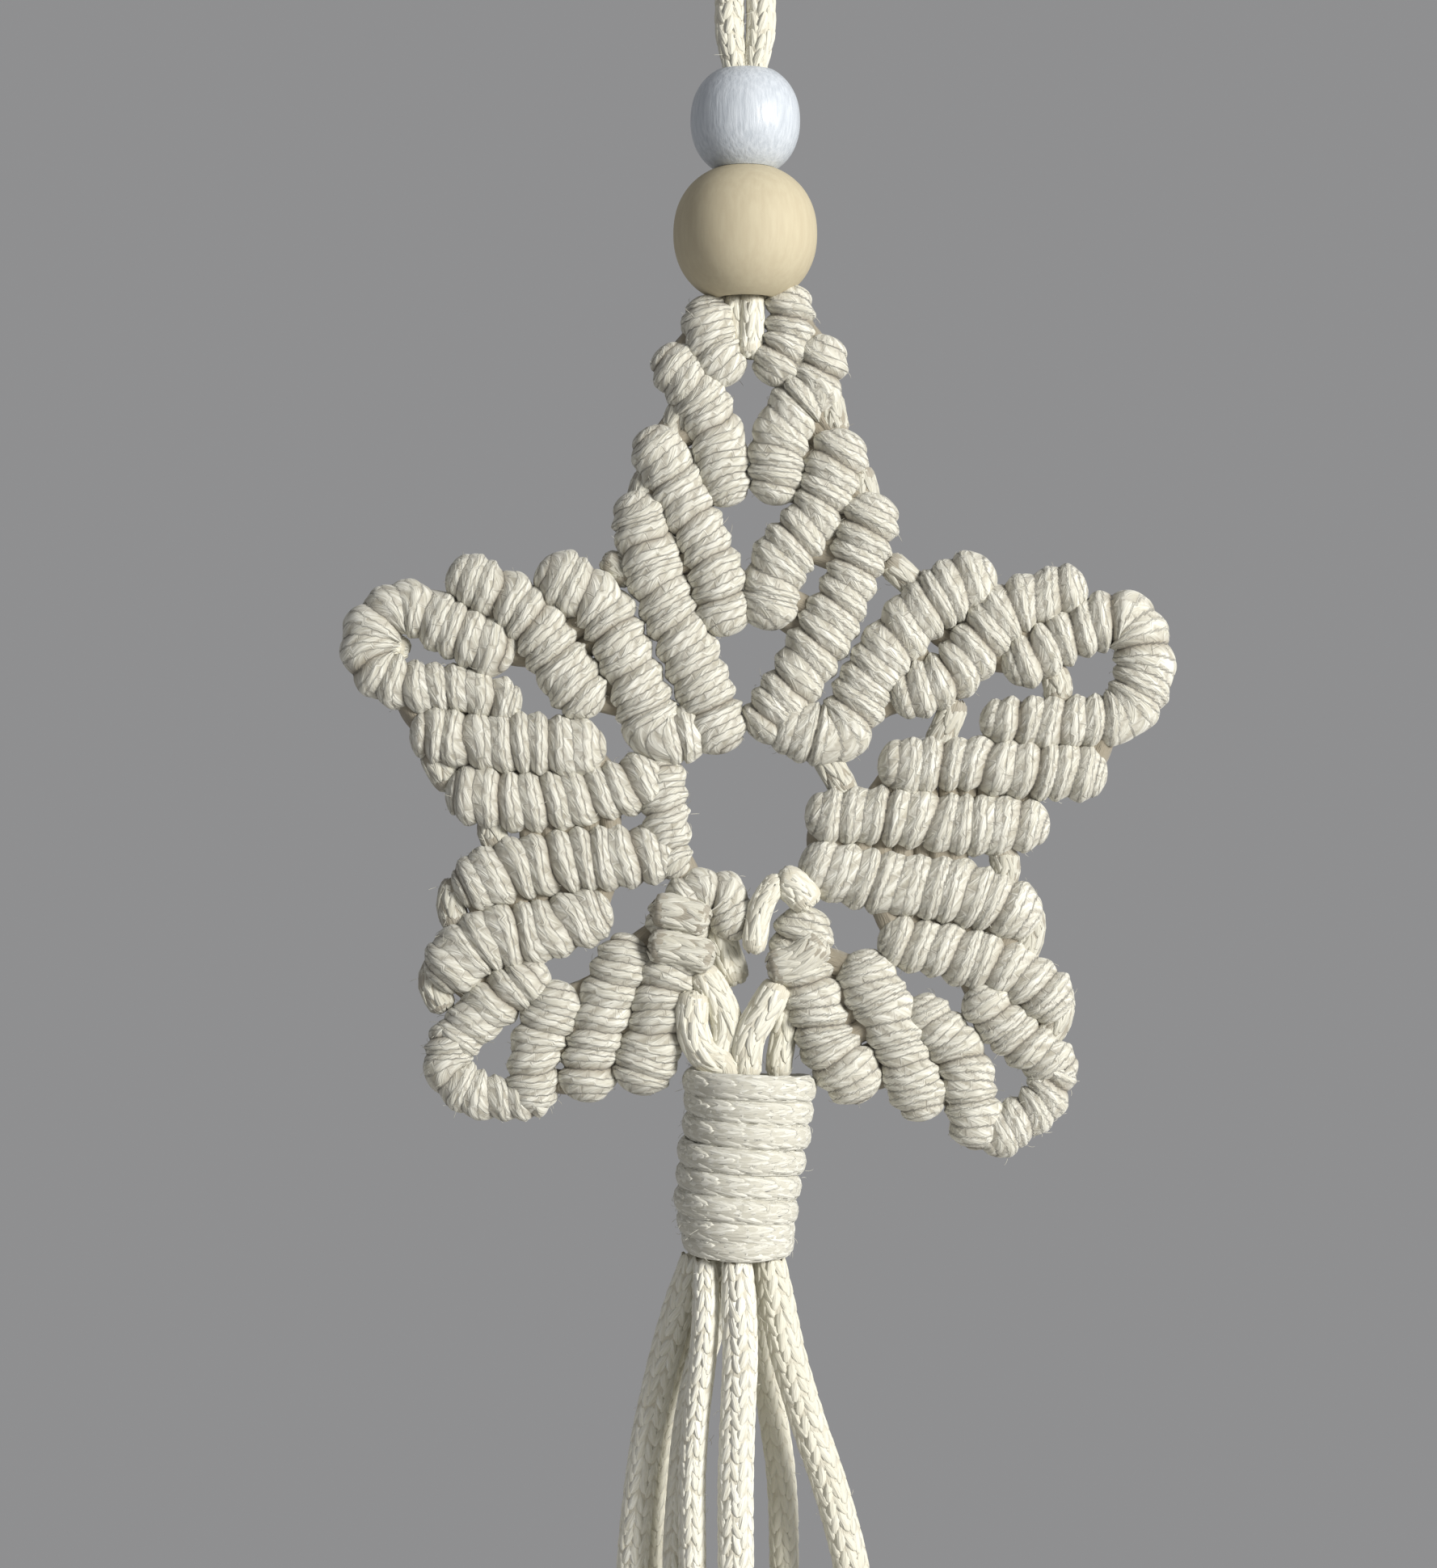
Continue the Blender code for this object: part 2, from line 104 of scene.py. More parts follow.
camera_data = bpy.data.cameras.new("front_camera")
camera_data.sensor_width = SENSOR
camera_data.lens = SENSOR / 2 * VIEW_DISTANCE / VIEW_HALF_HEIGHT
camera_data.clip_start = 0.01
camera = bpy.data.objects.new("front_camera", camera_data)
camera.location = VIEW_CENTRE + Vector((0, -VIEW_DISTANCE, 0))
camera.rotation_euler = (math.pi / 2, 0, 0)
scene.collection.objects.link(camera)
scene.camera = camera
print("lens in mm:", round(camera_data.lens, 1))

# %% [markdown]
# ## Smooth lines to roll cord round
#
# A cord is first a line. A few points are given, and a Hermite curve passes smoothly through
# them. Even spacing matters, because the faces of the cord inherit it.

# %% Smooth route through chosen points
FINE_STEPS = 40           # from one point to the next


def smooth_route(points, spacing):
    """Evenly spaced places on a smooth curve through given points, as an array."""
    chosen = np.array([tuple(point) for point in points], float)
    before = np.vstack([chosen[:1], chosen[:-1]])
    after = np.vstack([chosen[1:], chosen[-1:]])
    reach = np.linalg.norm(chosen - before, axis=1) + np.linalg.norm(after - chosen, axis=1)
    slopes = (after - before) / reach[:, None]
    t = np.linspace(0, 1, FINE_STEPS + 1)[1:, None]
    fine = [chosen[:1]]
    for start, end, leave, arrive in zip(chosen, chosen[1:], slopes, slopes[1:]):
        span = np.linalg.norm(end - start)
        fine.append(
            start * (2 * t**3 - 3 * t**2 + 1) + leave * span * (t**3 - 2 * t**2 + t)
            + end * (3 * t**2 - 2 * t**3) + arrive * span * (t**3 - t**2)
        )
    fine = np.vstack(fine)
    walked = np.concatenate([[0], np.cumsum(np.linalg.norm(np.diff(fine, axis=0), axis=1))])
    count = max(3, round(walked[-1] / spacing))
    wanted = np.linspace(0, walked[-1], count + 1)
    return np.stack([np.interp(wanted, walked, fine[:, axis]) for axis in range(3)], axis=1)


def unit_rows(vectors):
    """The same vectors, each of length one."""
    return vectors / np.linalg.norm(vectors, axis=1)[:, None]


def directions_along(places, rearward=REARWARD):
    """For each place of a line: across it in the plane of the star, and to the rear."""
    along = unit_rows(np.gradient(places, axis=0))
    across = unit_rows(np.cross(along, rearward))
    return across, np.cross(across, along)


def distance_along(places):
    """How far each place lies from the line's start, in millimetres."""
    steps = np.linalg.norm(np.diff(places, axis=0), axis=1)
    return np.concatenate([[0], np.cumsum(steps)]) / MM


# %% [markdown]
# ## The rolled sheet
#
# A cord with relief could be a curve with a bevel, but a bevel is the same all along. A sheet of
# faces that is rolled up lets every point have its own height, so wraps, plies and dents are all
# real shape. The grid operator makes the sheet, its points are moved on to the roll, and merging
# the doubles closes the seam and both ends. The UV map keeps millimetres along and across the
# yarn, so that fibres drawn by a material follow the cord wherever it goes.

# %% Roll a grid into a closed cord
def write_points(mesh, places, uv, painted_shade, tone):
    """Set a mesh's places, yarn UVs and two masks, painted shade and tone, for every point."""
    mesh.vertices.foreach_set("co", places.reshape(-1))
    corners = np.empty(len(mesh.loops), int)
    mesh.loops.foreach_get("vertex_index", corners)
    layer = mesh.uv_layers.new(name="yarn")
    layer.uv.foreach_set("vector", uv.reshape(-1, 2)[corners].reshape(-1))
    # the first mask is painted shade: how far the colour goes towards the dark colour of hollows
    for name, values in (("painted_shade", painted_shade), ("tone", tone)):
        mask = mesh.attributes.new(name, "FLOAT", "POINT")
        mask.data.foreach_set("value", values.reshape(-1).astype(np.float32))


def rolled_sheet(places, uv, painted_shade, tone):
    """A closed mesh from a grid of places: rings by points round."""
    rings, sides = places.shape[0] - 1, places.shape[1] - 1
    bm = bmesh.new()
    bmesh.ops.create_grid(bm, x_segments=sides, y_segments=rings, size=1)
    mesh = bpy.data.meshes.new("roll")
    bm.to_mesh(mesh)
    write_points(mesh, places, uv, painted_shade, tone)
    bm.clear()
    bm.from_mesh(mesh)
    bmesh.ops.remove_doubles(bm, verts=bm.verts, dist=1e-7)
    bmesh.ops.recalc_face_normals(bm, faces=bm.faces)
    bm.to_mesh(mesh)
    bm.free()
    return mesh


def finished(bm, name):
    """The mesh that a bmesh holds."""
    mesh = bpy.data.meshes.new(name)
    bm.to_mesh(mesh)
    bm.free()
    return mesh


def joined(name, meshes):
    """One smooth object from closed meshes, riding with the ornament."""
    bm = bmesh.new()
    for mesh in meshes:
        bm.from_mesh(mesh)
        bpy.data.meshes.remove(mesh)
    whole = finished(bm, name)
    whole.shade_smooth()
    item = bpy.data.objects.new(name, whole)
    scene.collection.objects.link(item)
    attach(item, "root")
    print(name, "has", sum(len(face.vertices) - 2 for face in whole.polygons), "triangles")
    return item


def round_end(distance, reach):
    """From 0 at both ends of a line to 1 at reach from them, like the side of a ball."""
    inward = np.clip(np.minimum(distance, distance[-1] - distance) / reach, 0, 1)
    return np.sqrt(1 - (1 - inward) ** 2)


# %% [markdown]
# ## Plain rolls
#
# Some cords are hardly seen, such as the core of a braid and the cords behind the star. A round
# roll is enough for them. It can have soft lobes that wind along it as plies do.

# %% Roll of even section
ROLL_END = 0.6            # mm over which its end is round
LOBES = 5
LOBE_WIND = 1.1           # radians that a lobe turns in one mm
LOBE_START = 9            # radians that a tone turns it by
YARN_SHIFT = (40, 13)     # mm along and across that a tone shifts the fibres by


def plain_roll(
    centres, radius, tone, sides=16, shade_share=0.75, rearward=REARWARD, wide=1.0, flat=1.0, lobe=0.0
):
    """A closed roll round a line; buried is how much painted shade its surface gets."""
    angle = np.linspace(0, TURN, sides + 1)
    distance = distance_along(centres)
    across, rear = directions_along(centres, rearward)
    winding = LOBES * angle[None, :] + LOBE_WIND * distance[:, None] + LOBE_START * tone
    reach = (radius * round_end(distance, ROLL_END))[:, None] * (1 + lobe * np.cos(winding))
    places = (
        centres[:, None]
        + across[:, None] * (wide * reach * np.sin(angle))[:, :, None]
        + rear[:, None] * (flat * reach * np.cos(angle))[:, :, None]
    )
    girth = radius.mean() / MM * TURN
    yarn = (distance[:, None] + YARN_SHIFT[0] * tone, (angle / TURN * girth)[None, :])
    masks = (np.full(places.shape[:2], value) for value in (shade_share, tone))
    return rolled_sheet(places, np.stack(np.broadcast_arrays(*yarn), axis=2), *masks)


# %% [markdown]
# ## Stray fibres
#
# Cotton is fuzzy. A few dozen fine bent rolls to a cord stand off it at chance places and soften
# its outline. Hair particles would be quicker to make, but an exported model loses them.

# %% Stray fibres
FIBRE_RADIUS = 0.026 * MM
FIBRE_LENGTH = (0.6, 1.6) # mm
FIBRE_STEPS = 5
# how a fibre goes on its way, as shares of its length
FIBRE_SINK = 0.05
FIBRE_RISE = (0.5, 1.1)
FIBRE_FALL = (0.2, 0.9)
FIBRE_AHEAD = (0.5, 0.9)


def stray_fibres(roots, centres, chance):
    """Fine rolls that start a little under a surface at the roots and bend back to it."""
    meshes = []
    share = np.linspace(0, 1, FIBRE_STEPS + 1)[:, None]
    for root, outward in zip(roots, unit_rows(roots - centres)):
        ahead = np.cross(outward, chance.uniform(-1, 1, 3))
        ahead /= np.linalg.norm(ahead)
        length = chance.uniform(*FIBRE_LENGTH) * MM
        rise = chance.uniform(*FIBRE_RISE) * share - chance.uniform(*FIBRE_FALL) * share**2
        line = root + length * (
            outward * (rise - FIBRE_SINK) + ahead * share * chance.uniform(*FIBRE_AHEAD)
        )
        radius = np.full(len(line), FIBRE_RADIUS)
        meshes.append(plain_roll(line, radius, 0.0, sides=3, shade_share=0.0))
    return meshes


# %% [markdown]
# ## Braided cord
#
# All the cord here is braided cotton. The eye doesn't see its plies as long threads. It sees
# columns of small leaves, which are the places where a ply comes to the surface, and they lean
# left and right by turns. So we model what shows: one small leaf, copied hundreds of times over
# a core. Each leaf lies a little over the next one, like a scale, and gets its own lean, size and
# tone. It has only thirty faces.

# %% One leaf, and a cord covered with leaves
CORD_STEP = 0.5 * MM
LEAF_COLUMN = 0.92        # mm round the cord for one column
LEAF_LENGTH = 2.9         # mm
LEAF_STEP = 1.95          # mm from one leaf to the next in a column
LEAF_SPREAD = 1.55        # width of a leaf as a share of its column
LEAF_THICK = 0.30         # mm
LEAF_TILT = 0.05          # mm that a leaf's upper end stands higher than its middle
LEAF_TAPER = 0.25         # how much narrower it is towards its ends
LEAF_LEAN = math.radians(16)
LEAF_STAGGER = 0.25       # steps by which every second pair of columns is shifted
LEAF_SLIP = (0.14, 0.12)  # how far a leaf strays along and round, in steps and in columns
LEAF_MARGIN = 0.3         # mm that its middle keeps from the cord's end
LEAN_SPREAD = (0.6, 1.4)
SIZE_SPREAD = (0.85, 1.12)
LEAF_EDGE_SHADE = 0.4           # painted shade that a leaf's edge gets
LEAF_PIT_SHADE = 0.52           # the same for the end where a leaf goes under the next one
LEAF_DRIFT = 0.03         # radians that a column turns round the cord in one mm
CORE_SINK = 0.09          # mm from the cord's surface down to its core
CORE_TONE = 0.3
FIBRES_PER_MM = 0.6


def leaf_mesh():
    """A closed spindle of unit size: across is X, outwards is Y and along is Z."""
    bm = bmesh.new()
    bmesh.ops.create_uvsphere(bm, u_segments=6, v_segments=5, radius=1.0)
    return finished(bm, "leaf")


def braided(
    places, radius, chance,
    rearward=REARWARD, wide=1.0, flat=1.0, stretch=1.0, shade_tone=0.0, shown=-1.0,
):
    """The core, leaves and fibres of a braided cord; radius has a value for each place.

    A leaf is left out where the cosine of its angle from the rear is under shown.
    """
    across, rear = directions_along(places, rearward)
    distance = distance_along(places)
    radius_mm = radius / MM
    columns = max(6, 2 * round(TURN * radius_mm.max() / LEAF_COLUMN / 2))
    per_column = max(2, round(distance[-1] / (LEAF_STEP * stretch)))
    grid = np.meshgrid(np.arange(columns), np.arange(per_column))
    column, number = (part.reshape(-1) for part in grid)
    kept = np.cos(TURN * column / columns) >= shown - 1e-6
    column, number = column[kept], number[kept]
    count = len(column)
    slip_along, slip_round = LEAF_SLIP
    step = number + 0.5 + LEAF_STAGGER * (column % 4 // 2)
    step = step + chance.uniform(-slip_along, slip_along, count)
    centre = np.minimum(step * distance[-1] / per_column, distance[-1] - LEAF_MARGIN)
    turned = TURN * (column + chance.uniform(-slip_round, slip_round, count)) / columns
    if shown <= -1:
        turned += chance.uniform(0, TURN) + LEAF_DRIFT * centre * chance.uniform(-1, 1)
    lean = LEAF_LEAN / stretch * np.where(column % 2, 1, -1)
    lean = lean * chance.uniform(*LEAN_SPREAD, count)
    size = chance.uniform(*SIZE_SPREAD, count)
    # a tone at random, raised for some cords as painted shade towards the shade colour
    tone = chance.uniform(0, 1, count) + shade_tone

    leaf = leaf_mesh()
    bm = bmesh.new()
    for _ in range(count):
        bm.from_mesh(leaf)
    mesh = finished(bm, "leaves")
    unit = np.empty(len(mesh.vertices) * 3)
    mesh.vertices.foreach_get("co", unit)
    aside, up, ahead = unit.reshape(count, -1, 3).transpose(2, 0, 1)
    a = ahead * (LEAF_LENGTH / 2 * stretch * size)[:, None]
    b = -aside * (LEAF_COLUMN * LEAF_SPREAD / 2 * size)[:, None] * (1 - LEAF_TAPER * ahead**2)
    cosine, sine = np.cos(lean)[:, None], np.sin(lean)[:, None]
    s = centre[:, None] + a * cosine - b * sine
    angle = turned[:, None] + (a * sine + b * cosine) / radius_mm.max()
    height = np.interp(s, distance, radius_mm) - LEAF_THICK / 2 + up * LEAF_THICK / 2
    height = height + LEAF_TILT * ahead

    def along_line(values):
        return np.stack([np.interp(s, distance, values[:, axis]) for axis in range(3)], axis=2)

    spots = along_line(places) + MM * (
        along_line(across) * (wide * height * np.sin(angle))[:, :, None]
        + along_line(rear) * (flat * height * np.cos(angle))[:, :, None]
    )
    shift_along, shift_across = YARN_SHIFT
    uv = np.stack([a + shift_along * tone[:, None], b + shift_across * tone[:, None]], axis=2)
    # painted shade: darker at a leaf's edges, most at the end that goes under the next leaf
    painted_shade = LEAF_EDGE_SHADE * (1 - up) + LEAF_PIT_SHADE * np.clip(-ahead, 0, 1) ** 2
    write_points(mesh, spots, uv, painted_shade, np.broadcast_to(tone[:, None], a.shape))
    bpy.data.meshes.remove(leaf)
    # the core lies under the leaves and gets painted shade, the default share of a plain roll
    core = plain_roll(
        places, radius - CORE_SINK * MM, CORE_TONE, rearward=rearward, wide=wide, flat=flat
    )

    ring = chance.integers(2, len(places) - 2, round(distance[-1] * FIBRES_PER_MM))
    around = chance.choice(turned, len(ring))[:, None]
    roots = places[ring] + radius[ring][:, None] * (
        across[ring] * wide * np.sin(around) + rear[ring] * flat * np.cos(around)
    )
    return [core, mesh, *stray_fibres(roots, places[ring], chance)]


# %% [markdown]
# ## The hanging loop
#
# One cord runs up through both beads, round the nail and down again. In the beads it is squeezed
# to six tenths of its thickness, and its two runs touch above them, as soft cord does.

# %% Hanging loop
TOUCH = 0.3 * MM
LOOP_CORD = 3.1 * MM
LOOP_SQUEEZE = 0.60
LOOP_EXIT = 0.80          # share of its thickness where it comes out of the white bead
LOOP_WIDE = 1.1           # how much wider than round it is
LOOP_SWELL = 4.6 * MM     # over which it gets its full thickness above that bead
LOOP_DROP = 36.1 * MM     # from the nail down to that bead
EYE_RADIUS = 3.6 * MM
EYE_LENGTH = 17.0 * MM    # from the nail down to where the two runs meet
EYE_STEPS = 6
LOOP_SHADE_TONE = 2.0            # painted shade, added to the tone, where 3 is the shade colour

star_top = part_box("natural_bead")[0].z - TOUCH
strand_offset = LOOP_CORD * LOOP_SQUEEZE / 2 + TOUCH / 2
beside = (LOOP_CORD + TOUCH) / 2
eye = EYE_RADIUS + LOOP_CORD / 2
loop_side = [
    (strand_offset, star_top + TOUCH),
    (strand_offset, (star_top - LOOP_DROP) / 2),
    (strand_offset, -LOOP_DROP),
    (beside, -LOOP_DROP + LOOP_SWELL),
    (beside, (-LOOP_DROP - EYE_LENGTH) / 2),
    (beside, -EYE_LENGTH),
    ((beside + eye) / 2, -(EYE_RADIUS + EYE_LENGTH) / 2),
    (eye, -EYE_RADIUS),
]
eye_turns = [math.pi * step / EYE_STEPS for step in range(1, EYE_STEPS)]
eye_arc = [(eye * math.cos(turn), -EYE_RADIUS + eye * math.sin(turn)) for turn in eye_turns]
loop_points = loop_side + eye_arc + [(-x, z) for x, z in reversed(loop_side)]
loop_places = smooth_route([(x, 0, z) for x, z in loop_points], CORD_STEP)
loop_radius = LOOP_CORD / 2 * np.interp(
    loop_places[:, 2],
    [-LOOP_DROP - 1 * MM, -LOOP_DROP, -LOOP_DROP + LOOP_SWELL],
    [LOOP_SQUEEZE, LOOP_EXIT, 1.0],
)
chance = np.random.default_rng(3)
hanging_loop = joined(
    "loop_cord",
    braided(loop_places, loop_radius, chance, wide=LOOP_WIDE, shade_tone=LOOP_SHADE_TONE),
)
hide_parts("hanging_loop")
print("loop cord in mm:", round(distance_along(loop_places)[-1], 1))

# %% [markdown]
# ## The tassel
#
# Seven strands leave the foot of the wrap and spread as they hang. Each follows its own few
# points, in millimetres across, to the rear and down from the middle of the wrap's foot. Soft
# cord isn't quite round: some strands turn their broad side to the front and some their narrow.
# The two strands at the rear and the one on the right get painted shade, so they are darker and
# warmer than the others.

# %% Tassel strands
TASSEL_CORD = 3.6 * MM
TASSEL_DROP = 80.0 * MM
TASSEL_LEAD = 0.8 * MM    # that a strand hangs straight down first
WRAP_LEAN = -1.1 * MM     # that the wrap's foot stands to the side
STRAND_WIDTHS = [1.0, 1.0, 0.94, 0.86, 1.12, 0.94, 1.12]
STRAND_SQUEEZE = 0.85     # share of its thickness that a strand has at the wrap
STRAND_GAIN = 0.15        # what it gains below it
GAIN_REACH = 5            # mm over which it does
SHADED_STRANDS = (2, 6, 7)
STRAND_SHADE_TONE = 2.0          # painted shade, added to the tone of those three
STRANDS = [
    [(-4.6, 1.8, 0), (-6.8, 2.4, 7), (-8.6, 2.6, 14),
     (-10.2, 2.6, 22), (-11.5, 2.6, 34), (-12.2, 2.6, 55)],
    [(-1.4, 4.5, 0), (-5.6, 6.2, 9), (-8.1, 6.6, 17),
     (-9.3, 6.6, 25), (-9.7, 6.6, 34), (-9.9, 6.6, 55)],
    [(0.0, 0.6, 0), (-3.2, 1.2, 9), (-4.9, 1.0, 16),
     (-5.8, 0.8, 23), (-6.5, 0.8, 34), (-6.6, 0.8, 55)],
    [(-3.3, -1.9, 0), (-3.3, -3.3, 5), (-3.6, -3.3, 10),
     (-4.4, -3.3, 17), (-4.8, -3.3, 25), (-4.4, -3.3, 55)],
    [(0.2, -3.9, 0), (0.4, -4.9, 5), (0.5, -5.2, 10),
     (0.2, -5.3, 17), (0.0, -5.3, 25), (0.2, -5.2, 55)],
    [(3.2, 3.0, 0), (3.0, 3.6, 9), (4.1, 4.0, 17),
     (5.2, 4.0, 25), (5.5, 4.0, 34), (5.6, 4.0, 55)],
    [(3.9, -1.9, 0), (5.6, -2.4, 9), (7.9, -2.4, 17),
     (10.6, -2.4, 25), (12.9, -2.4, 34), (16.0, -2.4, 55)],
]

wrap_low, wrap_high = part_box("gathering_wrap")
strand_top = wrap_low.z - TOUCH
for number, (route, wide) in enumerate(zip(STRANDS, STRAND_WIDTHS), start=1):
    points = [
        (WRAP_LEAN + x * MM, y * MM, strand_top - TASSEL_LEAD - down * MM) for x, y, down in route
    ]
    points.insert(0, (*points[0][:2], strand_top))
    points.append((*points[-1][:2], strand_top - TASSEL_DROP))
    places = smooth_route(points, CORD_STEP)
    gained = STRAND_GAIN * np.clip(distance_along(places) / GAIN_REACH, 0, 1)
    radius = TASSEL_CORD / 2 * (STRAND_SQUEEZE + gained)
    chance = np.random.default_rng(20 + number)
    # painted shade on the strands at the rear and on the right
    shade_tone = STRAND_SHADE_TONE if number in SHADED_STRANDS else 0.0
    strand = joined(
        f"tassel_cord_{number}",
        braided(places, radius, chance, wide=wide, flat=1 / wide, shade_tone=shade_tone),
    )
    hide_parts(f"tassel_strand_{number}")

# %% [markdown]
# ## The beads
#
# Both beads are turned, a little fuller than a ball, with a drilled hole. A ball primitive has no
# hole, so we draw half of the bead's section as a closed line and spin it round the hole's axis.
# The side follows a power curve. The rim at each end sinks softly into the hole, as sanding
# leaves it.

# %% Spin a bead from its section
BEAD_STEPS = 44
RIM_STEPS = 5
BEAD_TURNS = 72
BEAD_RIM = 1.1 * MM
BEAD_FULLNESS = 2.2
RIM_SINK = 0.35 * MM
BEAD_REACH = 0.13 * MM    # that a bead comes nearer to its neighbour than the plain solid does
BORE_CLEARANCE = 0.3 * MM


def bead_section(radius, bore, half):
    """Points of a bead's section from the hole's top, over the outside, to the hole's foot."""
    edge = bore + BEAD_RIM
    crown = half / (1 - (edge / radius) ** BEAD_FULLNESS) ** (1 / BEAD_FULLNESS)
    side = []
    for step in range(BEAD_STEPS + 1):
        z = half * math.cos(math.pi * step / BEAD_STEPS)
        side.append((radius * (1 - abs(z / crown) ** BEAD_FULLNESS) ** (1 / BEAD_FULLNESS), z))
    rim = [
        (bore + BEAD_RIM * step / RIM_STEPS, half - RIM_SINK * (1 - step / RIM_STEPS) ** 2)
        for step in range(RIM_STEPS)
    ]
    return rim + side + [(x, -z) for x, z in reversed(rim)]


def turned_bead(name, node, bore):
    """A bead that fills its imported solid."""
    low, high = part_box(node)
    centre, radius, half = (low + high) / 2, (high.x - low.x) / 2, (high.z - low.z) / 2
    section = bead_section(radius, bore, half + BEAD_REACH)
    bm = bmesh.new()
    verts = [bm.verts.new((x, 0, centre.z + z)) for x, z in section]
    edges = [bm.edges.new(pair) for pair in zip(verts, verts[1:] + verts[:1])]
    bmesh.ops.spin(
        bm, geom=verts + edges, cent=(0, 0, 0), axis=(0, 0, 1), angle=TURN, steps=BEAD_TURNS,
        use_merge=True, use_duplicate=False,
    )
    bmesh.ops.recalc_face_normals(bm, faces=bm.faces)
    bead = joined(name, [finished(bm, name)])
    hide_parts(node)
    return bead


bore_radius = strand_offset + LOOP_CORD * LOOP_SQUEEZE / 2 + BORE_CLEARANCE
white_bead = turned_bead("white_ball", "white_bead", bore_radius)
natural_bead = turned_bead("natural_ball", "natural_bead", bore_radius)

# %% [markdown]
# ## The drawing of the star
#
# The star is knotted from rows of double half hitches. Its drawing has 1022 units across the
# star, x to the right and y downwards, and one function takes a place of the drawing into the
# world. The first number of a row is its width, or a few widths for one that gets thinner or
# thicker on its way, and its axis follows.

# %% Rows of knots
STAR_WIDTH = 92.0 * MM
DRAWING_WIDTH = 1022
UNIT = STAR_WIDTH / DRAWING_WIDTH
DRAWING_CENTRE = 922.0
DRAWING_TOP = 371.0
DRAWING_NECK = 1321.0
ROWS = {
    "top_left": [
        (60, [(876, 391), (880, 420), (893, 452)]),
        (64, [(834, 450), (866, 492), (888, 545), (897, 600)]),
        (66, [(812, 552), (852, 630), (883, 700), (896, 760)]),
        (68, [(790, 632), (815, 722), (855, 812), (890, 905)]),
    ],
    "top_right": [
        (58, [(977, 378), (975, 418), (962, 452)]),
        (64, [(1018, 440), (1006, 478), (982, 506), (965, 545), (959, 598)]),
        (68, [(1040, 556), (1009, 635), (964, 697), (950, 752)]),
        (68, [(1078, 635), (1046, 730), (985, 840), (950, 892)]),
    ],
    "left_upper": [
        (68, [(690, 712), (745, 752), (785, 838), (815, 905), (852, 908)]),
        (68, [(580, 714), (650, 757), (697, 825), (722, 862)]),
        ((68, 66, 64, 56, 54), [
            (612, 804), (556, 775), (503, 750), (463, 777),
            (462, 822), (508, 848), (568, 851), (620, 867),
        ]),
    ],
    "left_lower": [
        (70, [(578, 980), (640, 990), (720, 985), (800, 965)]),
        (70, [(534, 906), (600, 917), (660, 919), (724, 926)]),
    ],
    "right_upper": [
        (70, [(1205, 712), (1130, 765), (1075, 840), (1035, 905), (975, 900)]),
        (66, [(1318, 728), (1245, 755), (1180, 830), (1125, 858)]),
        ((58, 66, 72, 68, 62, 56), [
            (1265, 820), (1340, 776), (1392, 768), (1416, 820),
            (1390, 880), (1320, 893), (1238, 892),
        ]),
    ],
    "right_lower": [
        (68, [(1272, 1018), (1190, 1019), (1100, 1008), (1022, 1009)]),
        (66, [(1343, 955), (1270, 951), (1190, 944), (1112, 948)]),
    ],
    "foot_left_outer": [
        (74, [(586, 1091), (640, 1073), (720, 1062), (812, 1057)]),
        (74, [(554, 1196), (600, 1163), (670, 1150), (732, 1130)]),
        (62, [(655, 1210), (610, 1240), (568, 1280)]),
        (54, [(556, 1288), (558, 1328), (600, 1355), (655, 1356)]),
    ],
    "foot_left_inner": [
        (70, [(836, 1128), (842, 1175), (820, 1222), (812, 1275), (792, 1326)]),
        (66, [(775, 1180), (752, 1235), (735, 1290), (725, 1335)]),
        (60, [(690, 1238), (665, 1290), (658, 1350)]),
    ],
    "foot_right_outer": [
        (74, [(1014, 1072), (1090, 1090), (1180, 1101), (1262, 1128)]),
        (68, [(1112, 1164), (1180, 1178), (1250, 1200), (1300, 1234)]),
        (60, [(1218, 1240), (1262, 1285), (1306, 1316)]),
        (54, [(1306, 1320), (1290, 1360), (1235, 1402)]),
    ],
    "foot_right_inner": [
        (70, [(994, 1146), (990, 1190), (1008, 1240), (1024, 1290), (1060, 1336)]),
        (66, [(1068, 1200), (1105, 1270), (1125, 1325), (1140, 1358)]),
        (62, [(1145, 1255), (1188, 1305), (1200, 1355), (1210, 1394)]),
    ],
    "centre": [
        (50, [(820, 958), (823, 1005), (831, 1060)]),
        (50, [(848, 1110), (872, 1101), (896, 1109), (906, 1136)]),
    ],
}


def place_in_star(x, y, depth=0.0):
    """A place of the drawing in the world; depth counts towards the front."""
    return ((x - DRAWING_CENTRE) * UNIT, -depth * UNIT, star_top - (y - DRAWING_TOP) * UNIT)


print("rows of knots:", sum(len(rows) for rows in ROWS.values()))

# %% [markdown]
# ## What a wound cord looks like
#
# In a row one cord lies straight inside and another is wound round it, twice for each knot. So
# the surface is a screw of soft bulges. We work out, for every point of the sheet, how far along
# the wound cord it lies and how far across it. The height follows from that: full in the middle
# of a wrap, low between two, with its plies showing as short strokes in three columns. Because
# every chance value is read along the wound cord, the surface fits at the seam of the sheet too.

# %% Height of a wound cord
EDGE_SLIP = 0.28          # pitches that an edge between two wraps strays
EDGE_WAVE = 0.03          # the same for each of its waves
DEPTH_SPREAD = (0.55, 1.3)
WRAP_RISE = 0.12          # mm that a wrap stands higher or lower
WRAP_TIP = 0.5            # mm that it tips to one side
WRAP_TONE = 0.6           # the highest tone of a wrap
VALLEY_SOFT, VALLEY_CREASE = 0.74, 0.26  # share of its depth in the slope and the crease
CREASE_REACH = 0.11       # half the crease's width, as a share of the wrap
VALLEY_SHADE = 0.85      # painted shade at the foot of a valley
PLY_COLUMNS = 3
STROKE = 2.7              # mm that one ply shows for before it dips
STROKE_LEAN = (1.4, 0.6, 1.2)  # how far it leans in each column, in column widths
STROKE_RELIEF = 0.14      # mm
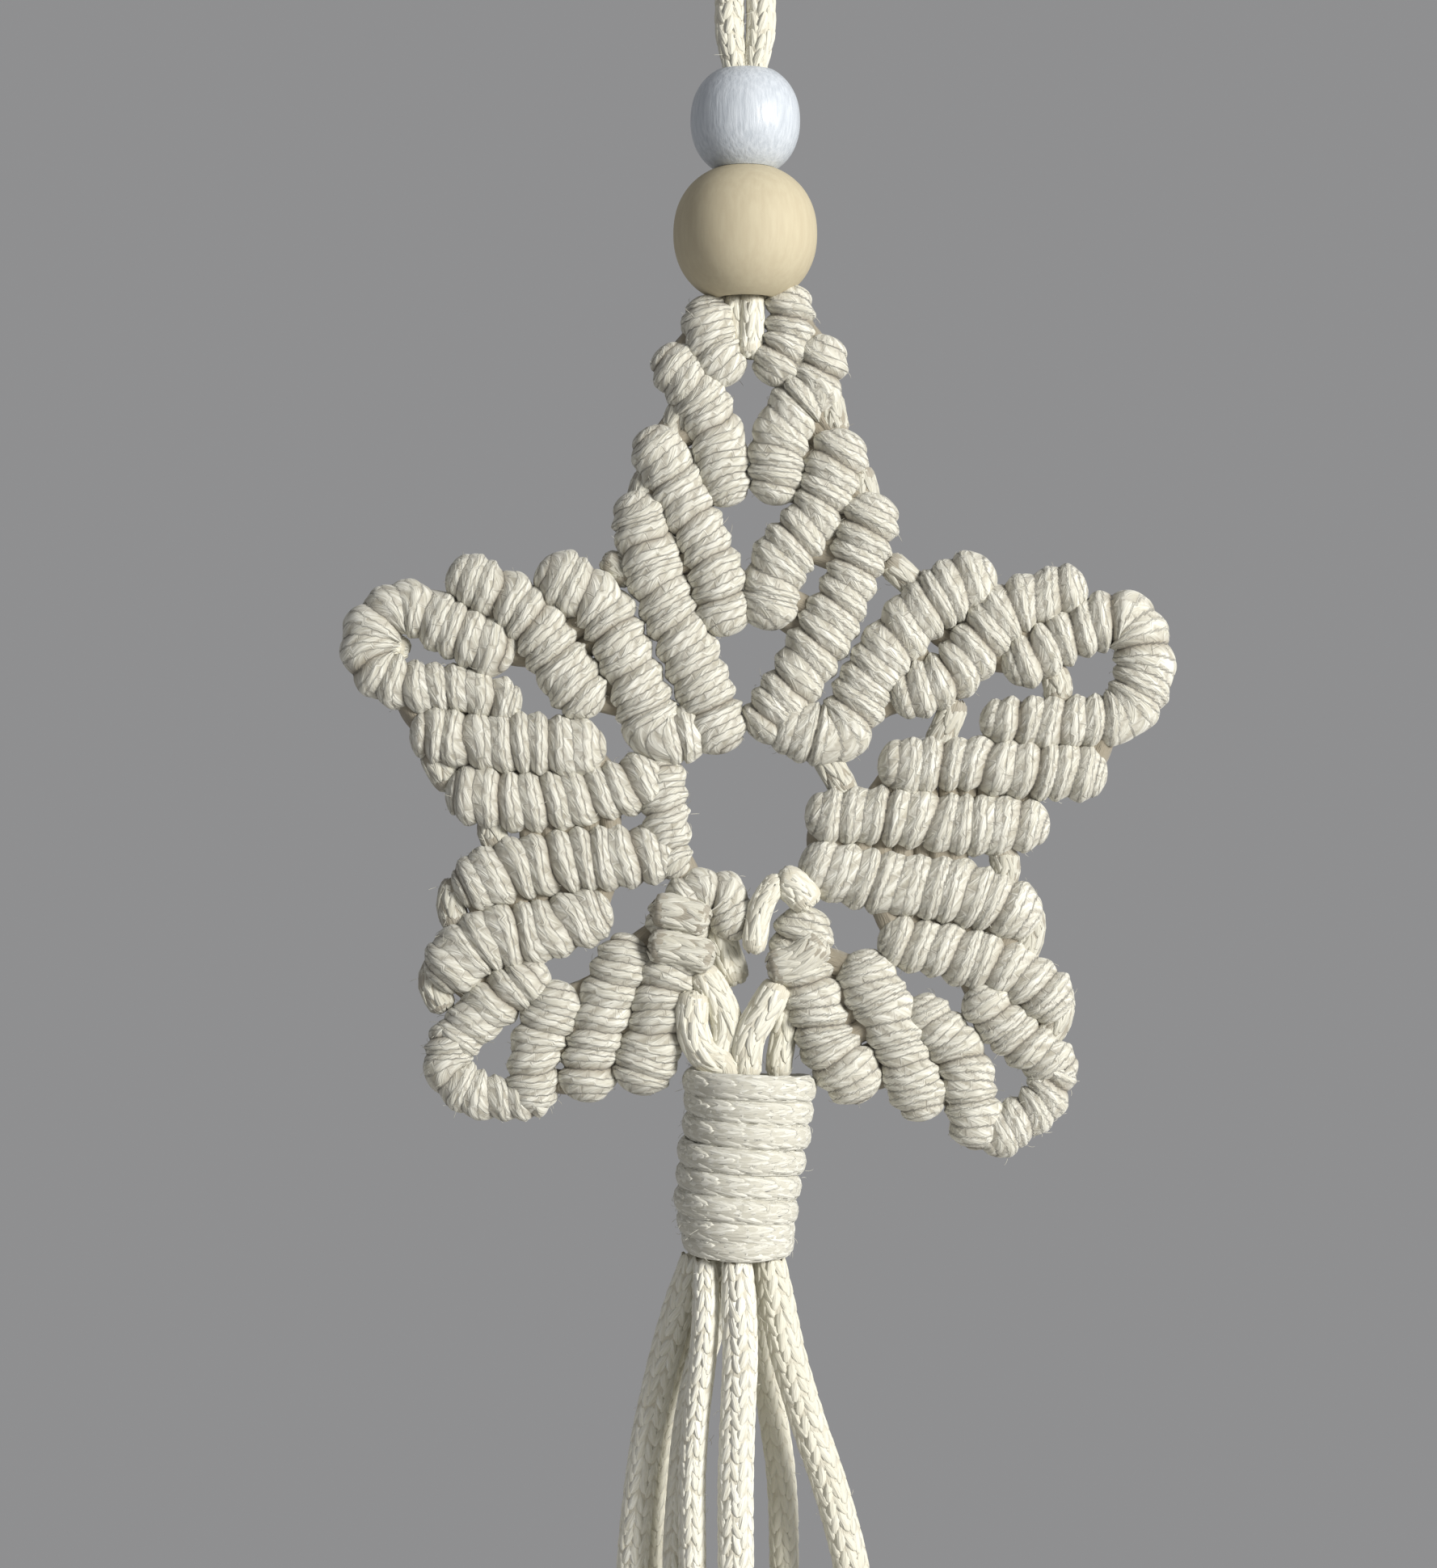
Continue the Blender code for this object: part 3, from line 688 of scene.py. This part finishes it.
STROKE_GAP_SHADE = 0.55      # painted shade in the gaps between strokes


def groove_shape(share):
    """1 at the edge of a wrap and 0 from its middle on: a soft valley with a small crease."""
    near = np.clip(share, 0, 0.5)
    soft = (0.5 + 0.5 * np.cos(TURN * near)) ** 1.2
    crease = np.clip(1 - near / CREASE_REACH, 0, 1) ** 1.5
    return VALLEY_SOFT * soft + VALLEY_CREASE * crease


def wound_surface(distance, angle, pitch, hand, chance, valley, pair_share, girth):
    """Height in mm over the roll, with its yarn UVs, painted shade mask and tone."""
    count = int(distance[-1] / pitch) + 6
    edges = pitch * (np.arange(count) - 2 + chance.uniform(-EDGE_SLIP, EDGE_SLIP, count))
    wave = sum(
        EDGE_WAVE * np.sin(
            distance[:, None] * chance.uniform(0.2, 1.2) + turns * angle[None, :]
            + chance.uniform(0, TURN)
        )
        for turns in (1, 2, 3)
    )
    wound = np.interp(distance, edges, np.arange(count))[:, None]
    wound = wound - hand * angle[None, :] / TURN + wave
    wrap = np.floor(wound)
    share = wound - wrap
    along = wrap + hand * angle[None, :] / TURN
    marks = np.arange(-3, count + 4)

    def by_wrap(low, high):
        return np.interp(along, marks, chance.uniform(low, high, len(marks)))

    depth_marks = chance.uniform(*DEPTH_SPREAD, len(marks))

    def depth(shift):
        pair = 1 - pair_share * (1 - np.cos(math.pi * (along + shift - hand / 2))) / 2
        return valley * pair * np.interp(along + shift, marks, depth_marks)

    middle = np.sin(math.pi * share)
    left, right = groove_shape(share), groove_shape(1 - share)
    height = -depth(0) * left - depth(1) * right
    height += by_wrap(-WRAP_RISE, WRAP_RISE) * middle
    height += by_wrap(-WRAP_TIP, WRAP_TIP) * (share - 0.5) * middle
    columns = PLY_COLUMNS * share
    column = np.floor(columns)
    stroke_place = along * girth / STROKE + 0.5 * column + 0.25 * np.sin(3.3 * along + column)
    stroke_share = stroke_place - np.floor(stroke_place)
    slant = np.interp(column, np.arange(PLY_COLUMNS), STROKE_LEAN)
    aside = np.clip(columns - column - slant * (stroke_share - 0.5), 0, 1)
    stroke = (np.sin(math.pi * aside) ** 0.7) * (np.sin(math.pi * stroke_share) ** 0.6)
    height += STROKE_RELIEF * (stroke - 0.6) * (0.35 + 0.65 * middle)
    uv = np.stack([
        along * girth + 7 * column, (aside + PLY_COLUMNS * column) * pitch / PLY_COLUMNS,
    ], axis=2)
    # painted shade, darkest at the foot of a valley and in the gaps between strokes
    low = np.clip(left * depth(0) / valley + right * depth(1) / valley, 0, 1) ** 1.1
    painted_shade = np.maximum(VALLEY_SHADE * low, STROKE_GAP_SHADE * (1 - stroke) ** 2)
    return height, uv, painted_shade, by_wrap(0, WRAP_TONE)


# %% [markdown]
# ## A row of knots
#
# The wound surface is laid round the row's axis, a little flatter from front to back than it is
# wide, and closed by a round end. Wraps on the left half of the star lean one way and those on
# the right half lean the other way, as the row was knotted outwards from the middle.

# %% Row of knots
FIBRES_PER_ROW = 60
BARE_RINGS = 4            # rings at a row's ends without fibres
ROW_SIDES = 48
ROW_STEP = 0.16 * MM
ROW_DEPTH = 0.88
ROW_REACH = 27.0          # units that a row runs past its last point
ROW_END = 0.95            # length of its round end as a share of half its width
LUMPS = [(0.12, 3.1), (0.08, 1.7)]  # how high and how long a row's soft waves are, in mm
WRAP_PITCH = 2.48         # mm along a row for one wrap
VALLEY = 0.80             # mm between two knots
PAIR_SHARE = 0.45         # how much shallower it is between the two wraps of one knot
ROW_SWELL = 0.37          # mm that the wraps stand over the plain solid's side


def extended(points, reach):
    """A flat route, lengthened straight on at both ends."""
    line = [Vector(point) for point in points]
    first = line[0] + (line[0] - line[1]).normalized() * reach
    last = line[-1] + (line[-1] - line[-2]).normalized() * reach
    return [first, *line, last]


def knotted_row(width, points, hand, chance, depth=0.0):
    """One row of double half hitches with its stray fibres."""
    centres = smooth_route(
        [place_in_star(x, y, depth) for x, y in extended(points, ROW_REACH)], ROW_STEP
    )
    across, rear = directions_along(centres)
    distance = distance_along(centres)
    angle = np.linspace(0, TURN, ROW_SIDES + 1)
    widths = np.atleast_1d(width)
    half = np.interp(distance / distance[-1], np.linspace(0, 1, len(widths)), widths)
    half = half * UNIT / 2 / MM + ROW_SWELL
    height, uv, painted_shade, tone = wound_surface(
        distance, angle, WRAP_PITCH, hand, chance, VALLEY, PAIR_SHARE, half.mean() * TURN
    )
    cap = round_end(distance, half.mean() * ROW_END)
    lump = sum(high * np.sin(distance / long + chance.uniform(0, TURN)) for high, long in LUMPS)
    radius = ((half + lump) * cap)[:, None] + height * (cap**2)[:, None]
    places = (
        centres[:, None]
        + across[:, None] * (radius * MM * np.sin(angle))[:, :, None]
        + rear[:, None] * (radius * MM * ROW_DEPTH * np.cos(angle))[:, :, None]
    )
    ring = chance.integers(BARE_RINGS, len(places) - BARE_RINGS, FIBRES_PER_ROW)
    roots = places[ring, chance.integers(0, ROW_SIDES, FIBRES_PER_ROW)]
    return [rolled_sheet(places, uv, painted_shade, tone), *stray_fibres(roots, centres[ring], chance)]


# %% [markdown]
# ## Plain cord of the star
#
# Where the cord isn't wound it shows its braid, so it is braided as the loop is. It is slack here,
# and its leaves are long. Behind the slits between two rows the working cords pass by the dozen.
# They are hardly seen, so a plain roll each is enough there.

# %% Plain cord
SLACK = 1.5               # how much longer the leaves of a slack cord are
CORD_SHADE_TONE = 1.1            # painted shade added to the tone, because these cords lie deep in the star
CORD_END = 1.5            # mm at each end over which it gets thinner, down to half


def plain_cord(width, depth, points, chance, last=None):
    """One unwound cord; width and depth are in the drawing's units."""
    route = [place_in_star(x, y, depth) for x, y in points] + ([last] if last is not None else [])
    places = smooth_route(route, CORD_STEP)
    radius = np.full(len(places), width * UNIT / 2)
    rounded = 0.5 + 0.5 * round_end(distance_along(places), CORD_END)
    return braided(places, radius * rounded, chance, stretch=SLACK, shade_tone=CORD_SHADE_TONE)


# %% Working cords behind the slits of one side
SLIT_REACH = 84.0         # rows further apart than this leave a hole
LINK_PITCH = 26.0         # units from one working cord to the next
LINK_SEARCH = 6.0         # units between the places of the other row that it can end at
LINK_WIDTH = (27, 33)     # units
LINK_STRAY = 5            # units that it strays halfway
LINK_LOBE = 0.08
LINK_SIDES = 16
LINK_SHADE = 0.85         # how much painted shade they get, as they lie in the slits' shade
LINK_END = -1.0           # units behind the middle plane inside a row, where it must not show
LINK_DIP = (-11, -5)      # the same halfway, between the two rows


def links_between(first, second, chance):
    """Working cords that pass from one row to the next, a little behind them."""
    a = smooth_route([(x, y, 0) for x, y in first], LINK_PITCH)
    b = smooth_route([(x, y, 0) for x, y in second], LINK_SEARCH)
    meshes = []
    for place in a:
        gaps = np.linalg.norm(b - place, axis=1)
        near = gaps.argmin()
        if gaps[near] < SLIT_REACH:
            start, end = place[:2], b[near][:2]
            bend = (start + end) / 2 + chance.uniform(-LINK_STRAY, LINK_STRAY, 2)
            route = [(*start, LINK_END), (*bend, chance.uniform(*LINK_DIP)), (*end, LINK_END)]
            places = smooth_route([place_in_star(*place) for place in route], CORD_STEP)
            half = np.full(len(places), chance.uniform(*LINK_WIDTH) * UNIT / 2)
            # painted shade: a high tone and share darken these cords, which lie in the shade of the
            # slits
            meshes.append(plain_roll(
                places, half, chance.uniform(1, 3),
                sides=LINK_SIDES, shade_share=LINK_SHADE, lobe=LINK_LOBE,
            ))
    return meshes


# %% [markdown]
# ## The star, arm by arm
#
# Each arm is one piece, so that none is too heavy. It holds its rows, the working cords behind
# its slits and the short loops at its edge, where a cord comes out of one row and goes into the
# next. Broad laps of cord cross the innermost rows of the feet in front.

# %% Arms of the star
EDGE_LOOP = (38, -8)      # width and depth in units
LAP = (46, 22)            # the same
ROW_STRAY = 1.5           # units that a row lies before or behind the middle plane
EDGE_LOOPS = {
    "star_top_arm": [
        [(850, 490), (838, 520), (826, 550)], [(1022, 478), (1028, 505), (1036, 540)],
        [(1062, 575), (1068, 600), (1075, 640)], [(805, 580), (796, 605), (790, 640)],
        [(745, 690), (762, 700), (780, 720)], [(1095, 690), (1120, 712), (1150, 740)],
    ],
    "star_left_arm": [
        [(530, 925), (545, 950), (560, 975)], [(612, 1000), (608, 1025), (618, 1050)],
    ],
    "star_right_arm": [
        [(1235, 1045), (1245, 1070), (1238, 1100)], [(1184, 862), (1173, 892), (1156, 926)],
        [(1015, 925), (1030, 950), (1050, 985)], [(1300, 822), (1309, 845), (1308, 872)],
    ],
    "star_left_foot": [
        [(566, 1085), (558, 1115), (566, 1150)], [(545, 1185), (535, 1215), (552, 1250)],
    ],
    "star_right_foot": [
        [(1262, 1110), (1276, 1140), (1266, 1180), (1250, 1200)],
        [(1295, 1205), (1312, 1235), (1305, 1268), (1285, 1290)],
    ],
}
LAPS = {
    "star_left_foot": [
        [(806, 1122), (845, 1128), (878, 1140)], [(802, 1166), (845, 1172), (884, 1185)],
    ],
    "star_right_foot": [[(948, 1196), (985, 1186), (1018, 1158)]],
}
NEIGHBOURS = {
    "star_left_arm": [("left_upper", 2, "left_lower", 1)],
    "star_right_arm": [("right_upper", 2, "right_lower", 1)],
    "star_left_foot": [("left_lower", 0, "foot_left_outer", 0)],
    "star_right_foot": [("right_lower", 0, "foot_right_outer", 0)],
}
ARMS = {
    "star_top_arm": ["top_left", "top_right"],
    "star_left_arm": ["left_upper", "left_lower"],
    "star_right_arm": ["right_upper", "right_lower"],
    "star_left_foot": ["foot_left_outer", "foot_left_inner", "centre"],
    "star_right_foot": ["foot_right_outer", "foot_right_inner"],
}

star_pieces = []
for seed, (arm, sides) in enumerate(ARMS.items(), start=50):
    chance = np.random.default_rng(seed)
    meshes = []
    for side in sides:
        hand = -1 if "right" in side else 1
        for width, points in ROWS[side]:
            depth = chance.uniform(-ROW_STRAY, ROW_STRAY)
            meshes += knotted_row(width, points, hand, chance, depth)
        for (_, first), (_, second) in zip(ROWS[side], ROWS[side][1:]):
            meshes += links_between(first, second, chance)
    for side, place, other_side, other_place in NEIGHBOURS.get(arm, []):
        meshes += links_between(ROWS[side][place][1], ROWS[other_side][other_place][1], chance)
    for points in EDGE_LOOPS[arm]:
        meshes += plain_cord(*EDGE_LOOP, points, chance)
    for points in LAPS.get(arm, []):
        meshes += plain_cord(*LAP, points, chance)
    piece = joined(arm, meshes)
    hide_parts("knotted_star")
    star_pieces.append(piece)

# %% [markdown]
# ## Plain cords in the star's middle
#
# At the top two plain cords show between the first knots. Below the middle hole a cord rises into
# a small arch, and four cords are gathered down into the wrap.

# %% Centre cords
PLAIN_CORDS = [
    (28, 0, [(909, 360), (909, 400), (916, 436)]),
    (34, 4, [(930, 360), (930, 402), (926, 444)]),
    (32, 20, [(932, 1178), (935, 1150), (941, 1120), (955, 1097), (968, 1084)]),
    (46, 16, [(960, 1086), (982, 1094), (1004, 1120)]),
    (30, 0, [(985, 1118), (1000, 1100), (1015, 1085)]),
    (34, -12, [(462, 788), (484, 797), (506, 804)]),
    (42, -18, [(885, 1138), (898, 1180), (912, 1218)]),
]
GATHERED_CORDS = [
    (42, 8, [(864, 1195), (890, 1238), (900, 1272), (892, 1300)]),
    (42, 20, [(859, 1222), (856, 1254), (860, 1281), (874, 1304), (897, 1318)]),
    (42, 16, [(966, 1212), (945, 1247), (926, 1280), (922, 1308)]),
    (34, -6, [(972, 1235), (970, 1275), (964, 1310)]),
]
GATHER_DIP = 1.2 * MM     # how far the cords go down inside the wrap

chance = np.random.default_rng(70)
meshes = []
for cord in PLAIN_CORDS:
    meshes += plain_cord(*cord, chance)
for width, depth, points in GATHERED_CORDS:
    x, y, z = place_in_star(points[-1][0], DRAWING_NECK, depth)
    meshes += plain_cord(width, depth, points, chance, (x, y, z - GATHER_DIP))
centre_cords = joined("star_centre_cords", meshes)
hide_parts("knotted_star")
star_pieces.append(centre_cords)

# %% [markdown]
# ## The gathering wrap
#
# Eight turns of cord hold the neck together. Here one braided cord really goes round eight times,
# pressed flat against its neighbours, with both ends tucked in at the back. A plain barrel inside
# stands for the squeezed cords, and it ends short of the top, so that the gathered cords go down
# between the turns.

# %% Gathering wrap
WRAP_CORD = 1.56 * MM     # half the height of a turn, with a little overlap
WRAP_END = 1.40 * MM      # the same for the first and the last turn
WRAP_FLAT = 0.64          # thickness of the pressed cord as a share of its height
WRAP_STRETCH = 1.6        # how much longer its leaves are, as the cord is pulled tight
WRAP_SHOWN = -0.3         # leaves further inside are left out
WRAP_WAVE = 0.1 * MM
WRAP_PLACES = 700
SWELL_TURNS = 1.3         # turns over which the cord gets its full height
TUCK_DEPTH = 0.8 * MM
TUCK_TURNS = 0.12         # turns over which an end is tucked in
BARREL_RADIUS = 5.6 * MM
BARREL_TOP = 2.2 * MM     # from the wrap's top down to the barrel
BARREL_FOOT = 0.5 * MM    # from the wrap's foot up to it
BARREL_SIDES = 48
# each turn's shift to the side, outer radius and drop from the top, in mm
WRAP_TURNS = [
    (0.5, 7.6, 1.4), (0.4, 7.3, 4.0), (0.2, 7.35, 6.7), (-0.4, 7.4, 9.6),
    (-0.7, 7.1, 12.3), (-1.0, 7.1, 15.0), (-0.95, 6.6, 17.3), (-0.75, 6.3, 19.2),
]

chance = np.random.default_rng(80)
turns = len(WRAP_TURNS)
turned = np.linspace(0, turns, WRAP_PLACES)
level = np.clip(turned - 0.5, 0, turns - 1)
shift, outer, drop = (
    np.interp(level, np.arange(turns), values) * MM for values in zip(*WRAP_TURNS)
)
tucked = TUCK_DEPTH * (1 - np.clip(np.minimum(turned, turns - turned) / TUCK_TURNS, 0, 1))
orbit = outer - WRAP_CORD * WRAP_FLAT - tucked
turns_line = np.stack([
    shift - orbit * np.sin(TURN * turned),
    orbit * np.cos(TURN * turned),
    wrap_high.z - drop + WRAP_WAVE * np.sin(turned * 7.3),
], axis=1)
turns_line = smooth_route(turns_line[::4], CORD_STEP)
outward = turns_line - np.stack([
    np.interp(-turns_line[:, 2], [-wrap_high.z, -wrap_low.z], [0, WRAP_LEAN]),
    np.zeros(len(turns_line)), turns_line[:, 2],
], axis=1)
fullness = round_end(np.linspace(0, turns, len(turns_line)), SWELL_TURNS)
meshes = braided(
    turns_line, WRAP_END + (WRAP_CORD - WRAP_END) * fullness, chance, rearward=unit_rows(outward),
    flat=WRAP_FLAT, stretch=WRAP_STRETCH, shown=WRAP_SHOWN,
)
barrel_line = smooth_route([
    (0, 0, wrap_high.z - BARREL_TOP), (WRAP_LEAN / 2, 0, (wrap_high.z + wrap_low.z) / 2),
    (WRAP_LEAN, 0, wrap_low.z + BARREL_FOOT),
], CORD_STEP)
barrel = np.full(len(barrel_line), BARREL_RADIUS)
# the barrel lies inside the turns and gets full painted shade
meshes.append(plain_roll(barrel_line, barrel, CORE_TONE, sides=BARREL_SIDES, shade_share=1.0))
neck_wrap = joined("neck_wrap", meshes)
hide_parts("gathering_wrap")

# %% [markdown]
# ## Cotton
#
# Undyed cotton is a warm off-white. Its fibres lie along the yarn, so both colour and bump are
# streaks that are long in U and narrow in V. The streaks are a node group, because the plain
# cord, the wraps and the braid all use them. Shade is painted into the colour: hollows between
# wraps, gaps between leaves and cords that lie deep get a warmer, darker colour, warm as the light
# there has passed through fibres. Sheen stands for the fine fuzz.

# %% Small helpers for nodes
def set_inputs(node, values):
    """Give inputs of a node constant values, by their names or numbers."""
    for name, value in values.items():
        node.inputs[name].default_value = value


def wire(source, output, target, socket):
    """Link an output of one node to an input of another one in the same tree."""
    source.id_data.links.new(source.outputs[output], target.inputs[socket])


def new_material(name):
    """A material with its node tree and its shader."""
    material = bpy.data.materials.new(name)
    material.use_nodes = True
    return material, material.node_tree, material.node_tree.nodes["Principled BSDF"]


def add_node(tree, kind, values=None, **settings):
    """A shader node with its settings and the values of some inputs."""
    node = tree.nodes.new("ShaderNode" + kind)
    for name, value in settings.items():
        setattr(node, name, value)
    set_inputs(node, values or {})
    return node


def spread_out(source, output, low, high, top=1.0):
    """A socket with a node's output stretched from low and high to 0 and top."""
    stretch = add_node(source.id_data, "MapRange", {
        "From Min": low, "From Max": high, "To Max": top,
    })
    wire(source, output, stretch, "Value")
    return stretch.outputs["Result"]


def colour_mix(tree, factor, first, second):
    """A Mix node for colours; factor is a socket, first and second are colours or sockets."""
    mix = add_node(tree, "Mix", data_type="RGBA")
    for socket, value in ((mix.inputs[0], factor), (mix.inputs[6], first), (mix.inputs[7], second)):
        if isinstance(value, bpy.types.NodeSocket):
            tree.links.new(value, socket)
        else:
            socket.default_value = (*value, 1)
    return mix.outputs[2]


# %% Node group for fibre streaks
def new_group(name, vectors, values):
    """A node group with vectors going in and values coming out, and its two end nodes."""
    group = bpy.data.node_groups.new(name, "ShaderNodeTree")
    for socket in vectors:
        group.interface.new_socket(socket, in_out="INPUT", socket_type="NodeSocketVector")
    for socket in values:
        group.interface.new_socket(socket, in_out="OUTPUT", socket_type="NodeSocketFloat")
    return group, group.nodes.new("NodeGroupInput"), group.nodes.new("NodeGroupOutput")


streaks, inlet, outlet = new_group("fibre_streaks", ["Place"], ["Mask", "Height", "Patch"])


def stretched_noise(along, across, detail):
    """Noise whose marks are long along the yarn and narrow across it."""
    place = add_node(streaks, "Mapping", {"Scale": (along, across, 1.0)})
    noise = add_node(streaks, "TexNoise", {
        "Scale": 1.0, "Detail": detail, "Roughness": 0.6, "Distortion": 0.5,
    })
    wire(inlet, "Place", place, "Vector")
    wire(place, "Vector", noise, "Vector")
    return noise


both = add_node(streaks, "Mix", {0: 0.5})
wire(stretched_noise(0.5, 4.4, 2.0), "Fac", both, 2)
wire(stretched_noise(0.28, 1.9, 2.0), "Fac", both, 3)
wire(both, 0, outlet, "Height")
streaks.links.new(spread_out(both, 0, 0.39, 0.61), outlet.inputs["Mask"])
blotches = stretched_noise(0.3, 0.55, 1.0)
streaks.links.new(spread_out(blotches, "Fac", 0.45, 0.68), outlet.inputs["Patch"])
print("streak group has", len(streaks.nodes), "nodes")

# %% Cotton materials
PATCH_SHADE = 0.25        # how much of the shade colour a patch gets
TONE_END = 3.0            # tone that is all shade colour


def cotton(name, light, shade, painted_shade_colour, bump):
    """Undyed cotton: fibre streaks along the yarn, bump mm high, and painted shade in hollows."""
    material, tree, shader = new_material(name)
    place = add_node(tree, "UVMap", uv_map="yarn")
    fibres = add_node(tree, "Group", node_tree=streaks)
    wire(place, "UV", fibres, "Place")
    painted_shade_mask = add_node(tree, "Attribute", attribute_name="painted_shade")
    tone = add_node(tree, "Attribute", attribute_name="tone")
    base = colour_mix(tree, fibres.outputs["Mask"], shade, light)
    patch = add_node(tree, "Math", {1: PATCH_SHADE}, operation="MULTIPLY")
    wire(fibres, "Patch", patch, 0)
    base = colour_mix(tree, patch.outputs[0], base, shade)
    # tone turns the colour towards the shade colour: at random, and as painted shade where raised
    base = colour_mix(tree, spread_out(tone, "Fac", 0.0, TONE_END), base, shade)
    # painted shade: the hollow mask darkens the colour towards a warm dark colour
    base = colour_mix(tree, spread_out(painted_shade_mask, "Fac", 0.25, 1.0, 0.92), base, painted_shade_colour)
    tree.links.new(base, shader.inputs["Base Color"])
    relief = add_node(tree, "Bump", {"Strength": 1.0, "Distance": bump * MM})
    wire(fibres, "Height", relief, "Height")
    wire(relief, "Normal", shader, "Normal")
    set_inputs(shader, {
        "Roughness": 0.85, "Specular IOR Level": 0.25, "Sheen Weight": 0.25, "Sheen Roughness": 0.5,
    })
    return material


# the third colour of each is the painted shade of its hollows
knot_cotton = cotton(
    "knotted_cotton", (0.84, 0.83, 0.755), (0.54, 0.52, 0.435), (0.21, 0.17, 0.115), bump=0.30
)
braid_cotton = cotton(
    "braided_cotton", (0.93, 0.925, 0.85), (0.74, 0.715, 0.60), (0.56, 0.515, 0.40), bump=0.26
)
wrap_cotton = cotton(
    "pressed_cotton", (0.85, 0.84, 0.765), (0.58, 0.565, 0.49), (0.52, 0.50, 0.42), bump=0.24
)
for piece in star_pieces:
    piece.data.materials.append(braid_cotton if piece == centre_cords else knot_cotton)
neck_wrap.data.materials.append(wrap_cotton)
for item in scene.objects:
    if item.name == "loop_cord" or item.name.startswith("tassel_cord"):
        item.data.materials.append(braid_cotton)

# %% [markdown]
# ## Paint and bare wood
#
# The small bead is painted white with a brush, so faint streaks run from hole to hole. The large
# bead is bare pale wood, sanded smooth, with a soft grain in the same direction. Both use one node
# group, whose noise is stretched along Z in Object coordinates.

# %% Bead materials
GRAIN_STRETCH = 0.12      # scale of the grain from hole to hole over that round the bead

turned_grain, grain_in, grain_out = new_group(
    "turned_grain", ["Place", "Scale"], ["Mask", "Cloud", "Height"]
)
stretch = add_node(turned_grain, "Mapping")
grain = add_node(turned_grain, "TexNoise", {"Scale": 1.0, "Detail": 4.0, "Roughness": 0.6})
cloud = add_node(turned_grain, "TexNoise", {"Scale": 260.0, "Detail": 2.0})
wire(grain_in, "Place", stretch, "Vector")
wire(grain_in, "Scale", stretch, "Scale")
wire(grain_in, "Place", cloud, "Vector")
wire(stretch, "Vector", grain, "Vector")
wire(grain, "Fac", grain_out, "Height")
turned_grain.links.new(spread_out(grain, "Fac", 0.35, 0.65), grain_out.inputs["Mask"])
turned_grain.links.new(spread_out(cloud, "Fac", 0.3, 0.7, 0.3), grain_out.inputs["Cloud"])


def grained(name, light, dark, scale, roughness, bump):
    """A turned surface with faint streaks from hole to hole; bump is in mm."""
    material, tree, shader = new_material(name)
    place = add_node(tree, "TexCoord")
    marks = add_node(
        tree, "Group", {"Scale": (scale, scale, scale * GRAIN_STRETCH)}, node_tree=turned_grain
    )
    wire(place, "Object", marks, "Place")
    base = colour_mix(tree, marks.outputs["Mask"], dark, light)
    base = colour_mix(tree, marks.outputs["Cloud"], base, dark)
    tree.links.new(base, shader.inputs["Base Color"])
    relief = add_node(tree, "Bump", {"Strength": 0.35, "Distance": bump * MM})
    wire(marks, "Height", relief, "Height")
    wire(relief, "Normal", shader, "Normal")
    set_inputs(shader, {"Roughness": roughness, "Specular IOR Level": 0.35})
    return material


white_bead.data.materials.append(grained(
    "white_paint", (0.64, 0.68, 0.73), (0.49, 0.53, 0.58), scale=2600.0, roughness=0.32, bump=0.2
))
natural_bead.data.materials.append(grained(
    "bare_wood", (0.555, 0.495, 0.35), (0.51, 0.445, 0.31), scale=1500.0, roughness=0.7, bump=0.03
))

# %% [markdown]
# ## Floor, light and surroundings
#
# A small pale floor lies under the tassel. One broad lamp stands to the right, in front and
# above, as the highlights on the beads ask for. A pale even world fills the shade.

# %% Floor
FLOOR_RADIUS = 0.19
FLOOR_DROP = 2 * MM       # from the tassel down to the floor

bm = bmesh.new()
bmesh.ops.create_circle(
    bm, cap_ends=True, segments=96, radius=FLOOR_RADIUS,
    matrix=Matrix.Translation((0, 0, cad_low.z - FLOOR_DROP)),
)
floor_mesh = finished(bm, "pale_floor")
floor = bpy.data.objects.new("pale_floor", floor_mesh)
scene.collection.objects.link(floor)
material, _, shader = new_material("floor_paint")
set_inputs(shader, {"Base Color": (0.72, 0.71, 0.69, 1), "Roughness": 0.8})
floor_mesh.materials.append(material)

# %% Light and world
KEY_DIRECTION = Vector((0.68, -0.63, 0.22)).normalized()
KEY_DISTANCE = 0.62
KEY_TARGET = Vector((0, 0, -0.11))
key_data = bpy.data.lights.new("window_light", "AREA")
key_data.shape = "DISK"
key_data.size = 0.22
key_data.energy = 5.0
key_data.color = (1.0, 0.985, 0.95)
key = bpy.data.objects.new("window_light", key_data)
key.location = KEY_TARGET + KEY_DIRECTION * KEY_DISTANCE
key.rotation_euler = KEY_DIRECTION.to_track_quat("Z", "Y").to_euler()
scene.collection.objects.link(key)

world = bpy.data.worlds.new("pale_room")
world.use_nodes = True
background = world.node_tree.nodes["Background"]
set_inputs(background, {"Color": (0.275, 0.275, 0.28, 1), "Strength": 1.0})
scene.world = world
scene.view_settings.view_transform = "Standard"
